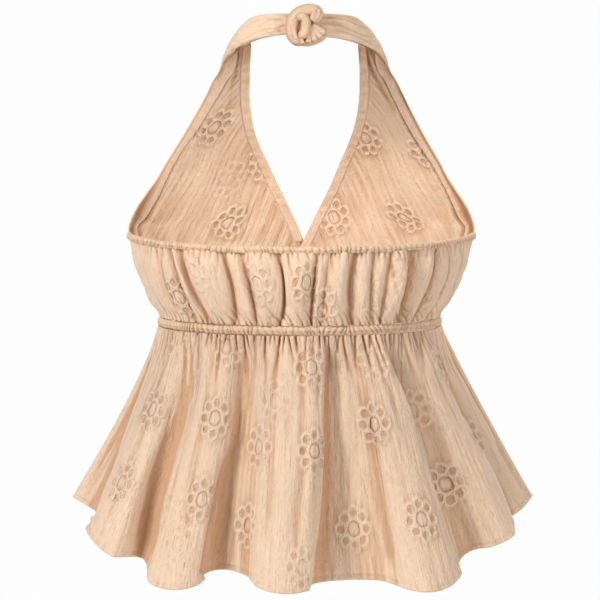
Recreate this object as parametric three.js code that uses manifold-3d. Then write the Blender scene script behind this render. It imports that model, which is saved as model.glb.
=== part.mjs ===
// Halter neck top: two crossed front panels with neck straps tied at the nape, a gathered back band
// between elastic casings, and a flared peplum whose hem dips at the back and the front.
// Millimetres, +Z up. The front faces -Y and the wearer's left is +X. The top is drawn in a body
// frame, whose axis is the middle of the neck, and the group then moves it so that the origin is the
// inner face of the neck strap at the nape.
import * as THREE from 'three';
import Module from 'manifold-3d';
import { mergeVertices } from 'three/addons/utils/BufferGeometryUtils.js';

const wasm = await Module();
wasm.setup();

// Driving sizes
const napeDepth = 52;
const clothWall = 1.4;
const bandWall = 1.7;
const seamGap = 0.3;
const halfSeam = seamGap / 2;
const neckFacingWidth = 9;
const armFacing = { narrow: 10, broad: 16, widensFrom: -140, widensTo: -182 };
const facingWall = 1.1;
const waistZ = -268;
const casingHeight = { back: 6.8, waist: 8 };
const casingRound = 0.7;
const puckerDepth = 0.55;
const bandTop = { middle: -193, sideRise: 6.5 };
const waistRing = { width: 128, back: 92, front: 96 };
const peplumTop = { width: 130.5, back: 94, front: 97.5 };

// Height of the body, with the half width of the section and its depth behind and before the axis
const backRows = [
  { z: -181, width: 158.7, depth: 95.0 },
  { z: -194, width: 157.0, depth: 95.5 },
  { z: -212, width: 153.4, depth: 95.5 },
  { z: -231, width: 146.6, depth: 95.0 },
  { z: -249, width: 137.1, depth: 93.5 },
  { z: -259, width: 130.7, depth: 92.3 },
  { z: -268, width: 128.0, depth: 92.0 },
];

// A front panel by height: half width, depth and middle of the chest's section, distance of the
// neck edge from the middle line (past it where negative), and the angle of the armhole edge
const frontRows = [
  { z: -48, width: 114, depth: 64.5, middle: 26.6, neck: 51.3, arm: 47.5 },
  { z: -66, width: 125, depth: 70.0, middle: 21.0, neck: 51.2, arm: 48.1 },
  { z: -85, width: 132, depth: 74.2, middle: 16.0, neck: 48.7, arm: 52.0 },
  { z: -104, width: 140, depth: 79.0, middle: 12.0, neck: 43.8, arm: 55.2 },
  { z: -122, width: 148, depth: 82.5, middle: 8.0, neck: 36.0, arm: 58.6 },
  { z: -142, width: 153, depth: 87.4, middle: 4.0, neck: 27.6, arm: 64.1 },
  { z: -162, width: 158.5, depth: 92.6, middle: 1.0, neck: 18.2, arm: 73 },
  { z: -175, width: 160, depth: 95.5, middle: 0, neck: 12.0, arm: 80 },
  { z: -184, width: 159, depth: 97.5, middle: 0, neck: 7.5, arm: 90 },
  { z: -201, width: 156.0, depth: 100.0, middle: 0, neck: 0, arm: 90 },
  { z: -228, width: 147.9, depth: 100.5, middle: 0, neck: -13, arm: 90 },
  { z: -249, width: 137.1, depth: 98.5, middle: 0, neck: -25, arm: 90 },
  { z: -264, width: 128.8, depth: 96.5, middle: 0, neck: -33, arm: 90 },
];
const panelHeights = [
  -48, -60, -73, -86, -99, -112, -125, -138, -151, -164, -175, -184, -193, -202, -214, -228, -242,
  -254, -263.7,
];

// The neck strap from the knot to the panel: its upper edge, which runs on as the neck edge, and its
// lower edge, which runs on as the armhole edge, with the thickness of the folded cloth and its bulge
const strapRows = [
  { upper: [5, 55, 9], lower: [5, 57, -8], thick: 5.0, bulge: 2.5 },
  { upper: [16, 55, 10], lower: [17, 58, -8], thick: 5.5, bulge: 2.5 },
  { upper: [28, 53, 10], lower: [30, 56, -9.5], thick: 5.5, bulge: 2.5 },
  { upper: [40, 46.5, 9], lower: [44, 50.5, -12.5], thick: 5.5, bulge: 3.5 },
  { upper: [48, 37, 6], lower: [55, 42, -16.5], thick: 5.5, bulge: 4.5 },
  { upper: [53, 25, 1], lower: [63, 30, -20.5], thick: 5.5, bulge: 5 },
  { upper: [53, 12, -5], lower: [69.5, 17, -25], thick: 5.5, bulge: 6 },
  { upper: [50.5, 1, -12.5], lower: [74, 6, -30], thick: 5.0, bulge: 6 },
  { upper: [50.5, -9, -21.5], lower: [76.5, -3, -36], thick: 4.0, bulge: 4.5 },
  { upper: [51.2, -20, -34], lower: [79.5, -11, -42], thick: 2.6, bulge: 2.5 },
];
const rightStrapDrop = 2.5;
const edgeFullness = 0.35;

// The bust that a cup is shaped for, and how far the inner layer lies in where the fronts cross,
// at the V and at the waist
const bust = { x: 76, z: -124, out: 13, wide: 36, high: 32 };
const crossing = {
  vee: 3.6, waist: 2.0, near: 25, far: 85, startZ: -160, fullZ: -196, easesFrom: -206, easesTo: -228,
};
// How far the V sits to the wearer's right of the middle, and the heights between which it moves over
const veeShift = { by: 2.4, fromZ: -100, toZ: -170 };

// Folds of the gathered band: angle from the middle of the back at the top and at the bottom, and how
// far the cloth stands out there. Positive angles are on the wearer's left.
const bandFolds = [
  { top: 90, bottom: 90, out: 0 },
  { top: 80, bottom: 80, out: 0.9 },
  { top: 72, bottom: 73, out: -0.8 },
  { top: 64, bottom: 64, out: 1.2 },
  { top: 58, bottom: 57, out: -1.0 },
  { top: 52, bottom: 51, out: 1.4 },
  { top: 46.8, bottom: 46.2, out: -2.2 },
  { top: 44.1, bottom: 43, out: 1.8 },
  { top: 41.3, bottom: 38.6, out: -2.4 },
  { top: 34.8, bottom: 33.7, out: 4.6 },
  { top: 26.4, bottom: 26.6, out: -4.6 },
  { top: 22, bottom: 21.6, out: 1.8 },
  { top: 19.2, bottom: 17.6, out: -1.8 },
  { top: 13.6, bottom: 13, out: 4.2 },
  { top: 7.2, bottom: 7, out: -4.6 },
  { top: -0.4, bottom: 1.0, out: 4.4 },
  { top: -5.3, bottom: -4.4, out: -2.2 },
  { top: -7.6, bottom: -6.4, out: 1.2 },
  { top: -10, bottom: -8.6, out: -0.4 },
  { top: -13.6, bottom: -14.2, out: 4.0 },
  { top: -18.2, bottom: -20.4, out: -4.2 },
  { top: -22.4, bottom: -24.4, out: 2.6 },
  { top: -25.6, bottom: -28.2, out: -1.4 },
  { top: -28.8, bottom: -31.2, out: 2.0 },
  { top: -31.8, bottom: -33.4, out: -0.4 },
  { top: -34.6, bottom: -36, out: 4.6 },
  { top: -41, bottom: -44, out: -4.4 },
  { top: -47.8, bottom: -48, out: 2.4 },
  { top: -51.2, bottom: -52.4, out: -2.2 },
  { top: -54.9, bottom: -57, out: 2.2 },
  { top: -60, bottom: -62.5, out: -1.4 },
  { top: -65, bottom: -68, out: 1.2 },
  { top: -72, bottom: -75, out: -1.0 },
  { top: -80, bottom: -82, out: 0.8 },
  { top: -90, bottom: -90, out: 0 },
];
const bandRows = [0, 0.1, 0.28, 0.5, 0.72, 0.9, 1];
const foldSamples = 3;
const gatheredFullness = 0.4;

// Flutes of the peplum: angle of the fold line at the waist, and where it meets the hem
const backFlutes = [
  { angle: 90, x: 213, y: 0, z: -433 },
  { angle: 78, x: 191, y: 36, z: -441 },
  { angle: 68, x: 193, y: 80, z: -448 },
  { angle: 60, x: 168, y: 122, z: -462 },
  { angle: 48.5, x: 141, y: 106, z: -468 },
  { angle: 41, x: 133, y: 138, z: -482 },
  { angle: 35.6, x: 112, y: 154, z: -485 },
  { angle: 29, x: 91, y: 147, z: -483 },
  { angle: 23.5, x: 72, y: 122, z: -475 },
  { angle: 18.5, x: 50, y: 128, z: -478 },
  { angle: 12, x: 38, y: 160, z: -482 },
  { angle: 4, x: 15, y: 170, z: -485 },
  { angle: -5, x: -7, y: 161, z: -484 },
  { angle: -11, x: -22, y: 131, z: -484 },
  { angle: -15.5, x: -44, y: 120, z: -484 },
  { angle: -20.5, x: -70, y: 125, z: -484 },
  { angle: -25, x: -90, y: 148, z: -486 },
  { angle: -30, x: -109, y: 155, z: -487 },
  { angle: -36, x: -129, y: 144, z: -484 },
  { angle: -41, x: -143, y: 119, z: -474 },
  { angle: -46, x: -152, y: 94, z: -464 },
  { angle: -51, x: -170, y: 89, z: -461 },
  { angle: -57, x: -189, y: 76, z: -454 },
  { angle: -65, x: -194, y: 47, z: -444 },
  { angle: -77, x: -207, y: 24, z: -437 },
  { angle: -90, x: -214, y: 0, z: -432 },
];
const frontFlutes = [
  { angle: -90, x: -214, y: 0, z: -432 },
  { angle: -100, x: -203, y: -28, z: -435 },
  { angle: -109, x: -198, y: -58, z: -442 },
  { angle: -118, x: -190, y: -94, z: -450 },
  { angle: -127, x: -160, y: -100, z: -461 },
  { angle: -135, x: -142, y: -118, z: -471 },
  { angle: -143, x: -123, y: -148, z: -480 },
  { angle: -151, x: -96, y: -156, z: -484 },
  { angle: -158, x: -70, y: -134, z: -482 },
  { angle: -165, x: -46, y: -128, z: -483 },
  { angle: -172, x: -24, y: -150, z: -486 },
  { angle: -180, x: 0, y: -169, z: -488 },
  { angle: -190, x: 30, y: -163, z: -487 },
  { angle: -197, x: 48, y: -137, z: -482 },
  { angle: -204, x: 70, y: -128, z: -479 },
  { angle: -211, x: 96, y: -151, z: -482 },
  { angle: -220, x: 128, y: -143, z: -478 },
  { angle: -228, x: 146, y: -106, z: -466 },
  { angle: -238, x: 172, y: -112, z: -458 },
  { angle: -247, x: 199, y: -73, z: -446 },
  { angle: -258, x: 197, y: -33, z: -437 },
  { angle: -270, x: 213, y: 0, z: -433 },
];
const peplumRows = [0, 0.07, 0.17, 0.32, 0.52, 0.76, 1];
const flareCurve = 1.15;
const tuckHeight = 1.5;
const tuckReach = 0.34;

// The knot's ropes in the plane of the back: a broad wrap, the loop in its middle and three pleats
const knotRopes = [
  {
    depth: 66, wide: 6.4, deep: 8,
    path: [[-16, 8], [-8, 12], [2, 12], [9.5, 7], [12, -2], [10, -11], [4, -16]],
  },
  { depth: 71, wide: 4.2, deep: 6, path: [[-6, 3], [-1, 5.5], [3.5, 1], [3, -6], [4.5, -10.5]] },
  { depth: 66, wide: 3.6, deep: 7, path: [[-8, 2], [-11, -7], [-8.5, -16]] },
  { depth: 65, wide: 4.4, deep: 7, path: [[-9, 3], [-14.5, -3], [-16, -11]] },
  { depth: 68, wide: 4.0, deep: 7, path: [[-6, -1], [-4, -10], [-2.5, -18]] },
];
const ropeEnd = { size: 0.55, share: 0.03 };
const ropeSides = 10;
const knotCore = { x: -1.5, y: 63, z: -3, wide: 14.5, deep: 9.5, high: 14, around: 14, down: 10 };

// Lean of the top as it hangs: sideways shift by height
const leanRows = [
  { z: 20, shift: -2.3 },
  { z: -60, shift: -2.3 },
  { z: -180, shift: 0.4 },
  { z: -268, shift: 2.1 },
  { z: -300, shift: 0.2 },
  { z: -360, shift: -0.8 },
  { z: -430, shift: 0 },
  { z: -490, shift: 0 },
];

const radians = Math.PI / 180;
const seamAngle = 89.9 * radians;
const smallTurn = 0.01;
const smallRise = 1;
const weldDistance = 1e-3;

// Smooth curve through a column of a table whose rows run downwards, read at height z
function readColumn(rows, column, z) {
  let i = 0;
  while (i < rows.length - 2 && z < rows[i + 1].z) i += 1;
  const span = rows[i + 1].z - rows[i].z;
  const t = THREE.MathUtils.clamp((z - rows[i].z) / span, 0, 1);
  const slope = (k) => {
    const before = rows[Math.max(k - 1, 0)];
    const after = rows[Math.min(k + 1, rows.length - 1)];
    return (after[column] - before[column]) / (after.z - before.z);
  };
  const [a, b] = [rows[i][column], rows[i + 1][column]];
  const [h, t2, t3] = [span, t * t, t * t * t];
  return (2 * t3 - 3 * t2 + 1) * a + (t3 - 2 * t2 + t) * h * slope(i)
    + (3 * t2 - 2 * t3) * b + (t3 - t2) * h * slope(i + 1);
}

// Eases from 0 at one value to 1 at another, whichever is the larger
function ease(value, from, to) {
  return THREE.MathUtils.smoothstep((value - from) / (to - from), 0, 1);
}

// A closed mesh from a list of points and faces, leaned as the top hangs and turned outwards
function closedGeometry(points, faces) {
  const positions = points.flatMap((p) => [p.x + readColumn(leanRows, 'shift', p.z), p.y, p.z]);
  let volume = 0;
  for (const [a, b, c] of faces) {
    volume += points[a].dot(new THREE.Vector3().crossVectors(points[b], points[c]));
  }
  const outward = volume > 0 ? faces : faces.map(([a, b, c]) => [a, c, b]);
  const geometry = new THREE.BufferGeometry();
  geometry.setAttribute('position', new THREE.Float32BufferAttribute(positions, 3));
  geometry.setIndex(outward.flat());
  return geometry;
}

// A wall between an outer and an inner grid of points, closed round its four edges
function wallGeometry(outer, inner) {
  const rows = outer.length;
  const columns = outer[0].length;
  const points = [...outer.flat(), ...inner.flat()];
  const at = (side, r, c) => side * rows * columns + r * columns + c;
  const faces = [];
  const quad = (a, b, c, d) => faces.push([a, b, c], [a, c, d]);
  for (let r = 0; r < rows - 1; r += 1) {
    for (let c = 0; c < columns - 1; c += 1) {
      quad(at(0, r, c), at(0, r, c + 1), at(0, r + 1, c + 1), at(0, r + 1, c));
      faces.push([at(1, r, c), at(1, r + 1, c + 1), at(1, r, c + 1)]);
      faces.push([at(1, r, c), at(1, r + 1, c), at(1, r + 1, c + 1)]);
    }
  }
  for (let c = 0; c < columns - 1; c += 1) {
    quad(at(1, 0, c), at(1, 0, c + 1), at(0, 0, c + 1), at(0, 0, c));
    quad(at(0, rows - 1, c), at(0, rows - 1, c + 1), at(1, rows - 1, c + 1), at(1, rows - 1, c));
  }
  for (let r = 0; r < rows - 1; r += 1) {
    const last = columns - 1;
    quad(at(0, r, 0), at(0, r + 1, 0), at(1, r + 1, 0), at(1, r, 0));
    quad(at(1, r, last), at(1, r + 1, last), at(0, r + 1, last), at(0, r, last));
  }
  return closedGeometry(points, faces);
}

// A solid strip from closed sections in a row, with a flat cap at each end
function stripGeometry(sections) {
  const sides = sections[0].length;
  const points = sections.flat();
  const faces = [];
  for (let s = 0; s < sections.length - 1; s += 1) {
    for (let k = 0; k < sides; k += 1) {
      const next = (k + 1) % sides;
      const [a, b] = [s * sides + k, s * sides + next];
      faces.push([a, b, b + sides], [a, b + sides, a + sides]);
    }
  }
  const last = (sections.length - 1) * sides;
  for (let k = 1; k < sides - 1; k += 1) {
    faces.push([0, k + 1, k], [last, last + k, last + k + 1]);
  }
  return closedGeometry(points, faces);
}

// Point of an elliptical section at an angle from the middle of the back, moved out by some distance
function ringPoint(width, backDepth, frontDepth, angle, out, z) {
  const depth = Math.cos(angle) >= 0 ? backDepth : frontDepth;
  const normal = new THREE.Vector2(Math.sin(angle) / width, Math.cos(angle) / depth).normalize();
  return new THREE.Vector3(
    width * Math.sin(angle) + out * normal.x,
    depth * Math.cos(angle) + out * normal.y,
    z,
  );
}

// Outer points and outward directions of one row of a front panel. The side is 1 for the left.
// Columns keep the facings' widths at both edges and share out the rest.
const middleColumns = 8;

function armFacingWidth(z) {
  const { narrow, broad, widensFrom, widensTo } = armFacing;
  return THREE.MathUtils.lerp(narrow, broad, ease(z, widensFrom, widensTo));
}

function columnFractions(length, z) {
  const arm = armFacingWidth(z);
  const between = Array.from(
    { length: middleColumns - 1 },
    (_, k) => neckFacingWidth + ((length - neckFacingWidth - arm) * (k + 1)) / middleColumns,
  );
  const neckSide = [0, neckFacingWidth / 2, neckFacingWidth];
  const armSide = [length - arm, length - arm / 2, length];
  return [...neckSide, ...between, ...armSide].map((distance) => distance / length);
}

function layerShift(side, own, z) {
  if (side > 0) return 0;
  const { vee, waist, near, far, startZ, fullZ, easesFrom, easesTo } = crossing;
  const depth = THREE.MathUtils.lerp(vee, waist, ease(z, easesFrom, easesTo));
  return depth * ease(z, startZ, fullZ) * (1 - ease(own, near, far));
}

function panelPoint(side, z, angle) {
  const width = readColumn(frontRows, 'width', z);
  const depth = readColumn(frontRows, 'depth', z);
  const middle = readColumn(frontRows, 'middle', z);
  const own = width * Math.sin(angle);
  const sideways = (own - bust.x) / bust.wide;
  const upwards = (z - bust.z) / bust.high;
  const cup = Math.exp(-(sideways ** 2 + upwards ** 2) / 2);
  const reach = depth * Math.cos(angle) + bust.out * cup * Math.cos(angle) - layerShift(side, own, z);
  return new THREE.Vector3(side * own, middle - reach, z);
}

function panelRow(side, z) {
  const width = readColumn(frontRows, 'width', z);
  const over = side * veeShift.by * ease(z, veeShift.fromZ, veeShift.toZ);
  const neckEdge = readColumn(frontRows, 'neck', z) - over;
  const start = Math.asin(neckEdge / width);
  const end = Math.min(readColumn(frontRows, 'arm', z), 90) * radians;
  const length = panelPoint(side, z, start).distanceTo(panelPoint(side, z, (start + end) / 2))
    + panelPoint(side, z, (start + end) / 2).distanceTo(panelPoint(side, z, end));
  return columnFractions(length, z).map((fraction) => {
    const angle = THREE.MathUtils.lerp(start, end, fraction);
    const point = panelPoint(side, z, angle);
    const along = panelPoint(side, z, angle + smallTurn).sub(panelPoint(side, z, angle - smallTurn));
    const down = panelPoint(side, z - smallRise, angle).sub(panelPoint(side, z + smallRise, angle));
    const outward = new THREE.Vector3().crossVectors(down, along).normalize().multiplyScalar(side);
    if (angle > seamAngle) {
      point.y = -halfSeam;
      outward.set(side, 0, 0);
    }
    return { point, outward, thick: clothWall };
  });
}

// The same for one row of a neck strap, whose cloth is folded to a thicker band
function strapRow(side, index) {
  const row = strapRows[index];
  const drop = side < 0 ? rightStrapDrop : 0;
  const corner = ([x, y, z]) => new THREE.Vector3(side * x, y, z);
  const upper = corner(row.upper);
  const lowered = drop * (1 - index / strapRows.length);
  const lower = corner(row.lower).setZ(row.lower[2] - lowered);
  const before = strapRows[Math.max(index - 1, 0)];
  const after = strapRows[Math.min(index + 1, strapRows.length - 1)];
  const ahead = corner(after.upper).add(corner(after.lower));
  const path = ahead.sub(corner(before.upper)).sub(corner(before.lower));
  const across = lower.clone().sub(upper);
  const outward = new THREE.Vector3().crossVectors(path, across).normalize().multiplyScalar(side);
  return columnFractions(across.length(), 0).map((fraction) => {
    const round = Math.sqrt(Math.max(0, 1 - (2 * fraction - 1) ** 2));
    const point = upper.clone().lerp(lower, fraction).addScaledVector(outward, row.bulge * round);
    const thick = clothWall + (row.thick - clothWall) * THREE.MathUtils.lerp(edgeFullness, 1, round);
    return { point, outward, thick };
  });
}

function frontGrid(side) {
  const straps = strapRows.map((_, index) => strapRow(side, index));
  return [...straps, ...panelHeights.map((z) => panelRow(side, z))];
}

function offsetPoint(cell, distance) {
  return cell.point.clone().addScaledVector(cell.outward, -distance);
}

function frontPanel(grid) {
  const outer = grid.map((row) => row.map((cell) => cell.point));
  const inner = grid.map((row) => row.map((cell) => offsetPoint(cell, cell.thick)));
  return wallGeometry(outer, inner);
}

// A strip on the inside of a panel, over three of its columns and some of its rows
function facingStrip(grid, firstColumn, rows) {
  const sections = rows.map((row) => {
    const cells = row.slice(firstColumn, firstColumn + 3);
    const near = cells.map((cell) => offsetPoint(cell, cell.thick + seamGap));
    const far = cells.map((cell) => offsetPoint(cell, cell.thick + seamGap + facingWall));
    return [...near, ...far.reverse()];
  });
  return stripGeometry(sections);
}

// The gathered band between its casings
function bandTopZ(angle) {
  return bandTop.middle + bandTop.sideRise * Math.sin(angle) ** 4;
}

function foldShape(from, to, t) {
  const rising = Math.sin((Math.PI / 2) * t);
  const falling = 1 - Math.cos((Math.PI / 2) * t);
  return THREE.MathUtils.lerp(from, to, to > from ? rising : falling);
}

function foldColumns(folds, samples) {
  const columns = [];
  for (let i = 0; i < folds.length - 1; i += 1) {
    for (let k = 0; k < samples; k += 1) {
      columns.push({ from: folds[i], to: folds[i + 1], t: k / samples });
    }
  }
  columns.push({ from: folds[folds.length - 2], to: folds[folds.length - 1], t: 1 });
  return columns;
}

function bandPoint(column, down, inward) {
  const top = THREE.MathUtils.lerp(column.from.top, column.to.top, column.t) * radians;
  const bottom = THREE.MathUtils.lerp(column.from.bottom, column.to.bottom, column.t) * radians;
  const angle = THREE.MathUtils.lerp(top, bottom, down);
  const topZ = bandTopZ(angle) - casingHeight.back - seamGap;
  const bottomZ = waistZ + casingHeight.waist / 2 + seamGap;
  const z = THREE.MathUtils.lerp(topZ, bottomZ, down);
  const fullness = THREE.MathUtils.lerp(gatheredFullness, 1, Math.sqrt(Math.sin(Math.PI * down)));
  const out = foldShape(column.from.out, column.to.out, column.t) * fullness;
  const width = readColumn(backRows, 'width', z);
  const depth = readColumn(backRows, 'depth', z);
  const point = ringPoint(width, depth, depth, angle, out - inward, z);
  if (Math.abs(angle) > seamAngle) point.y = halfSeam;
  return point;
}

function backPanel() {
  const columns = foldColumns(bandFolds, foldSamples);
  const grid = (inward) => bandRows.map((down) => columns.map((column) => bandPoint(column, down, inward)));
  return wallGeometry(grid(0), grid(bandWall));
}

// An elastic casing: a flat tube round half of the body, puckered all along
function casing({ start, end, puckers, height, outer, inner, ring, topZ }) {
  const stations = puckers * 2;
  const behind = Math.abs(start + end) < 180 ? 1 : -1;
  const sections = [];
  for (let s = 0; s <= stations; s += 1) {
    const angle = THREE.MathUtils.lerp(start, end, s / stations) * radians;
    const pucker = s % 2 === 0 ? -puckerDepth : puckerDepth;
    const z = topZ(angle) - height / 2;
    const size = ring(z);
    const section = [
      [outer + pucker, 0],
      [outer - casingRound, height / 2],
      [inner + casingRound, height / 2],
      [inner - pucker / 2, 0],
      [inner + casingRound, -height / 2],
      [outer - casingRound, -height / 2],
    ].map(([out, up]) => {
      const point = ringPoint(size.width, size.back, size.front, angle, out, z + up);
      if (s === 0 || s === stations) point.y = behind * halfSeam;
      return point;
    });
    sections.push(section);
  }
  return stripGeometry(sections);
}

// A half of the peplum: fold lines fan out from the waist to the hem
function hemCurve(flutes) {
  const ends = flutes.map(({ x, y, z }) => new THREE.Vector3(x, y, z));
  return new THREE.CatmullRomCurve3(ends, false, 'catmullrom', 0.5);
}

function peplumHalf(flutes) {
  const curve = hemCurve(flutes);
  const intervals = flutes.length - 1;
  const count = intervals * foldSamples;
  const columns = Array.from({ length: count + 1 }, (_, k) => {
    const place = k / foldSamples;
    const i = Math.min(Math.floor(place), intervals - 1);
    const angle = THREE.MathUtils.lerp(flutes[i].angle, flutes[i + 1].angle, place - i) * radians;
    return { angle, hem: curve.getPoint(k / count), tuck: Math.cos((2 * Math.PI * k) / foldSamples) };
  });
  const topZ = waistZ - casingHeight.waist / 2 - seamGap;
  const outer = peplumRows.map((down) => columns.map(({ angle, hem, tuck }, k) => {
    const edge = k === 0 || k === count;
    const out = edge ? 0 : tuckHeight * tuck * (1 - ease(down, 0, tuckReach));
    const top = ringPoint(peplumTop.width, peplumTop.back, peplumTop.front, angle, out, topZ);
    const flare = down ** flareCurve;
    return new THREE.Vector3(
      THREE.MathUtils.lerp(top.x, hem.x, flare),
      THREE.MathUtils.lerp(top.y, hem.y, flare),
      THREE.MathUtils.lerp(topZ, hem.z, down),
    );
  }));
  const behind = flutes[1].y > 0 ? 1 : -1;
  const inner = outer.map((row, r) => row.map((point, c) => {
    const along = row[Math.min(c + 1, count)].clone().sub(row[Math.max(c - 1, 0)]);
    const below = outer[Math.min(r + 1, outer.length - 1)][c];
    const above = outer[Math.max(r - 1, 0)][c];
    const inward = new THREE.Vector3().crossVectors(along, below.clone().sub(above)).normalize();
    if (c === 0 || c === count) inward.set(-Math.sign(point.x), 0, 0);
    return point.clone().addScaledVector(inward, clothWall);
  }));
  for (const grid of [outer, inner]) {
    for (const row of grid) {
      row[0].y = behind * halfSeam;
      row[count].y = behind * halfSeam;
    }
  }
  return wallGeometry(outer, inner);
}

// The knot: ropes of cloth round a core, joined to one solid
function ropeGeometry(rope, grow) {
  const path = rope.path.map(([x, z]) => new THREE.Vector3(x, rope.depth, z));
  const curve = new THREE.CatmullRomCurve3(path);
  const steps = rope.path.length * 2;
  const back = new THREE.Vector3(0, 1, 0);
  const sections = Array.from({ length: steps + 1 }, (_, s) => {
    const centre = curve.getPoint(s / steps);
    const tangent = curve.getTangent(s / steps);
    const across = new THREE.Vector3().crossVectors(tangent, back);
    const share = THREE.MathUtils.clamp(s / steps, ropeEnd.share, 1 - ropeEnd.share);
    const taper = THREE.MathUtils.lerp(ropeEnd.size, 1, Math.sqrt(Math.sin(Math.PI * share)));
    return Array.from({ length: ropeSides }, (__, k) => {
      const turn = (2 * Math.PI * k) / ropeSides;
      return centre.clone()
        .addScaledVector(across, (rope.wide * taper + grow) * Math.cos(turn))
        .addScaledVector(back, (rope.deep * taper + grow) * Math.sin(turn));
    });
  });
  return stripGeometry(sections);
}

function coreGeometry(grow) {
  const { x, y, z, wide, deep, high, around, down } = knotCore;
  const ball = new THREE.SphereGeometry(1, around, down);
  const sphere = mergeVertices(ball.deleteAttribute('normal').deleteAttribute('uv'));
  sphere.scale(wide + grow, deep + grow, high + grow);
  return sphere.translate(x + leanRows[0].shift, y, z);
}

function solidOf(geometry) {
  const merged = geometry.index ? geometry : mergeVertices(geometry);
  return new wasm.Manifold(new wasm.Mesh({
    numProp: 3,
    vertProperties: Float32Array.from(merged.getAttribute('position').array),
    triVerts: Uint32Array.from(merged.index.array),
  }));
}

function geometryOf(solid) {
  const mesh = solid.getMesh();
  const geometry = new THREE.BufferGeometry();
  geometry.setAttribute('position', new THREE.BufferAttribute(Float32Array.from(mesh.vertProperties), 3));
  geometry.setIndex(Array.from(mesh.triVerts));
  return geometry;
}

function knotSolid(grow) {
  const ropes = knotRopes.map((rope) => solidOf(ropeGeometry(rope, grow)));
  return ropes.reduce((whole, rope) => whole.add(rope), solidOf(coreGeometry(grow)));
}

function largestBody(solid) {
  return solid.decompose().reduce((most, body) => (body.volume() > most.volume() ? body : most));
}

// The top, as a group of named meshes
const top = new THREE.Group();
top.position.set(0, -napeDepth, 0);

const clothColour = { inside: '#e6cbb2', band: '#e3c3a2', peplum: '#d4ad87' };
const clothRoughness = 0.95;

function addPiece(name, geometry, colour) {
  const clean = mergeVertices(geometry, weldDistance);
  clean.computeVertexNormals();
  const finish = { color: colour, roughness: clothRoughness, metalness: 0 };
  const material = new THREE.MeshStandardMaterial(finish);
  const mesh = new THREE.Mesh(clean, material);
  mesh.name = name;
  top.add(mesh);
}

const knotClearance = knotSolid(seamGap);
const strapCount = strapRows.length;
const veeEnd = strapCount + panelHeights.indexOf(-202) + 1;
const cornerEnd = strapCount + panelHeights.indexOf(-184);
const facingStart = strapCount - 1;

for (const [name, side] of [['left', 1], ['right', -1]]) {
  const grid = frontGrid(side);
  const lastColumn = grid[0].length - 3;
  const neckRows = grid.slice(facingStart, side > 0 ? veeEnd : grid.length);
  const armRows = grid.slice(facingStart, cornerEnd);
  const trimmed = largestBody(solidOf(frontPanel(grid)).subtract(knotClearance));
  addPiece(`front_${name}`, geometryOf(trimmed), clothColour.inside);
  addPiece(`neck_facing_${name}`, facingStrip(grid, 0, neckRows), clothColour.inside);
  addPiece(`armhole_facing_${name}`, facingStrip(grid, lastColumn, armRows), clothColour.inside);
}

const backRing = (z) => {
  const width = readColumn(backRows, 'width', z);
  const depth = readColumn(backRows, 'depth', z);
  return { width, back: depth, front: depth };
};
const waistTop = () => waistZ + casingHeight.waist / 2;
const waist = { height: casingHeight.waist, ring: () => waistRing, topZ: waistTop };
const backHalf = { start: 90, end: -90 };
const frontHalf = { start: -90, end: -270 };
const casings = {
  back_casing: {
    ...backHalf, puckers: 48, outer: 2.2, inner: -2.6,
    height: casingHeight.back, ring: backRing, topZ: bandTopZ,
  },
  waist_casing_back: { ...waist, ...backHalf, puckers: 34, outer: 2.2, inner: -3 },
  waist_casing_front: { ...waist, ...frontHalf, puckers: 30, outer: 1.8, inner: -4.8 },
};

addPiece('back_panel', backPanel(), clothColour.band);
for (const [name, sizes] of Object.entries(casings)) {
  addPiece(name, casing(sizes), clothColour.band);
}
addPiece('peplum_back', peplumHalf(backFlutes), clothColour.peplum);
addPiece('peplum_front', peplumHalf(frontFlutes), clothColour.peplum);
addPiece('knot', geometryOf(knotSolid(0)), clothColour.inside);

export default top;
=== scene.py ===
"""Halter neck top of crinkled cotton gauze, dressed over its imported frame.

Shapes are worked out in millimetres in a body frame, whose axis is the middle of the neck, and then
moved to the frame of the part. The front faces -Y and the wearer's left is +X.
"""

import math

import bpy
import numpy as np
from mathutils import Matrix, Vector


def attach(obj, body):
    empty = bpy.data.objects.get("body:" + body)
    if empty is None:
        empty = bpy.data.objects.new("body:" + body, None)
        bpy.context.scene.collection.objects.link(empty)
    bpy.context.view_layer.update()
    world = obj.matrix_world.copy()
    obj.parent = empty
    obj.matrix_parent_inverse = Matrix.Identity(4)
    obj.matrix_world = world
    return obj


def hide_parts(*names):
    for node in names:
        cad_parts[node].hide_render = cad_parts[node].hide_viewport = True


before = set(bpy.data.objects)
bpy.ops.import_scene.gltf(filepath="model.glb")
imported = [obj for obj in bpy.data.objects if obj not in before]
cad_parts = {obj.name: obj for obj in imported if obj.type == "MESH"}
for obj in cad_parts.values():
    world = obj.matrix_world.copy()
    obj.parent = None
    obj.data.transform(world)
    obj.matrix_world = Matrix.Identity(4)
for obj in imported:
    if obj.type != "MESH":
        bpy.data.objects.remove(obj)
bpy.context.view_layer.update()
scene = bpy.context.scene

# Driving sizes, in millimetres
NAPE_DEPTH = 52
CLOTH = 1.3
BAND_CLOTH = 1.5
SEAM = 0.3
LEAST_WALL = 0.6
NECK_FACING = 9
WAIST_Z = -268
TUCKED_IN = 1.2
WAIST_CASING = 8
BACK_CASING = 6.8
BAND_TOP = {"middle": -193, "side_rise": 6.5}
WAIST_RING = {"width": 128, "back": 92, "front": 96}
PEPLUM_TOP = {"width": 130.5, "back": 94, "front": 97.5}
FLARE_CURVE = 1.15

# The photograph's camera: distance to the body's axis, height above it, and the frame's size there
CAMERA_DISTANCE = 2000
CAMERA_TILT = math.radians(5.5)
FRAME_WIDTH = 552
FRAME_PIXELS = 600
AXIS_PIXEL = 302
LOOK_AT_Z = -249.5


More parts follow.
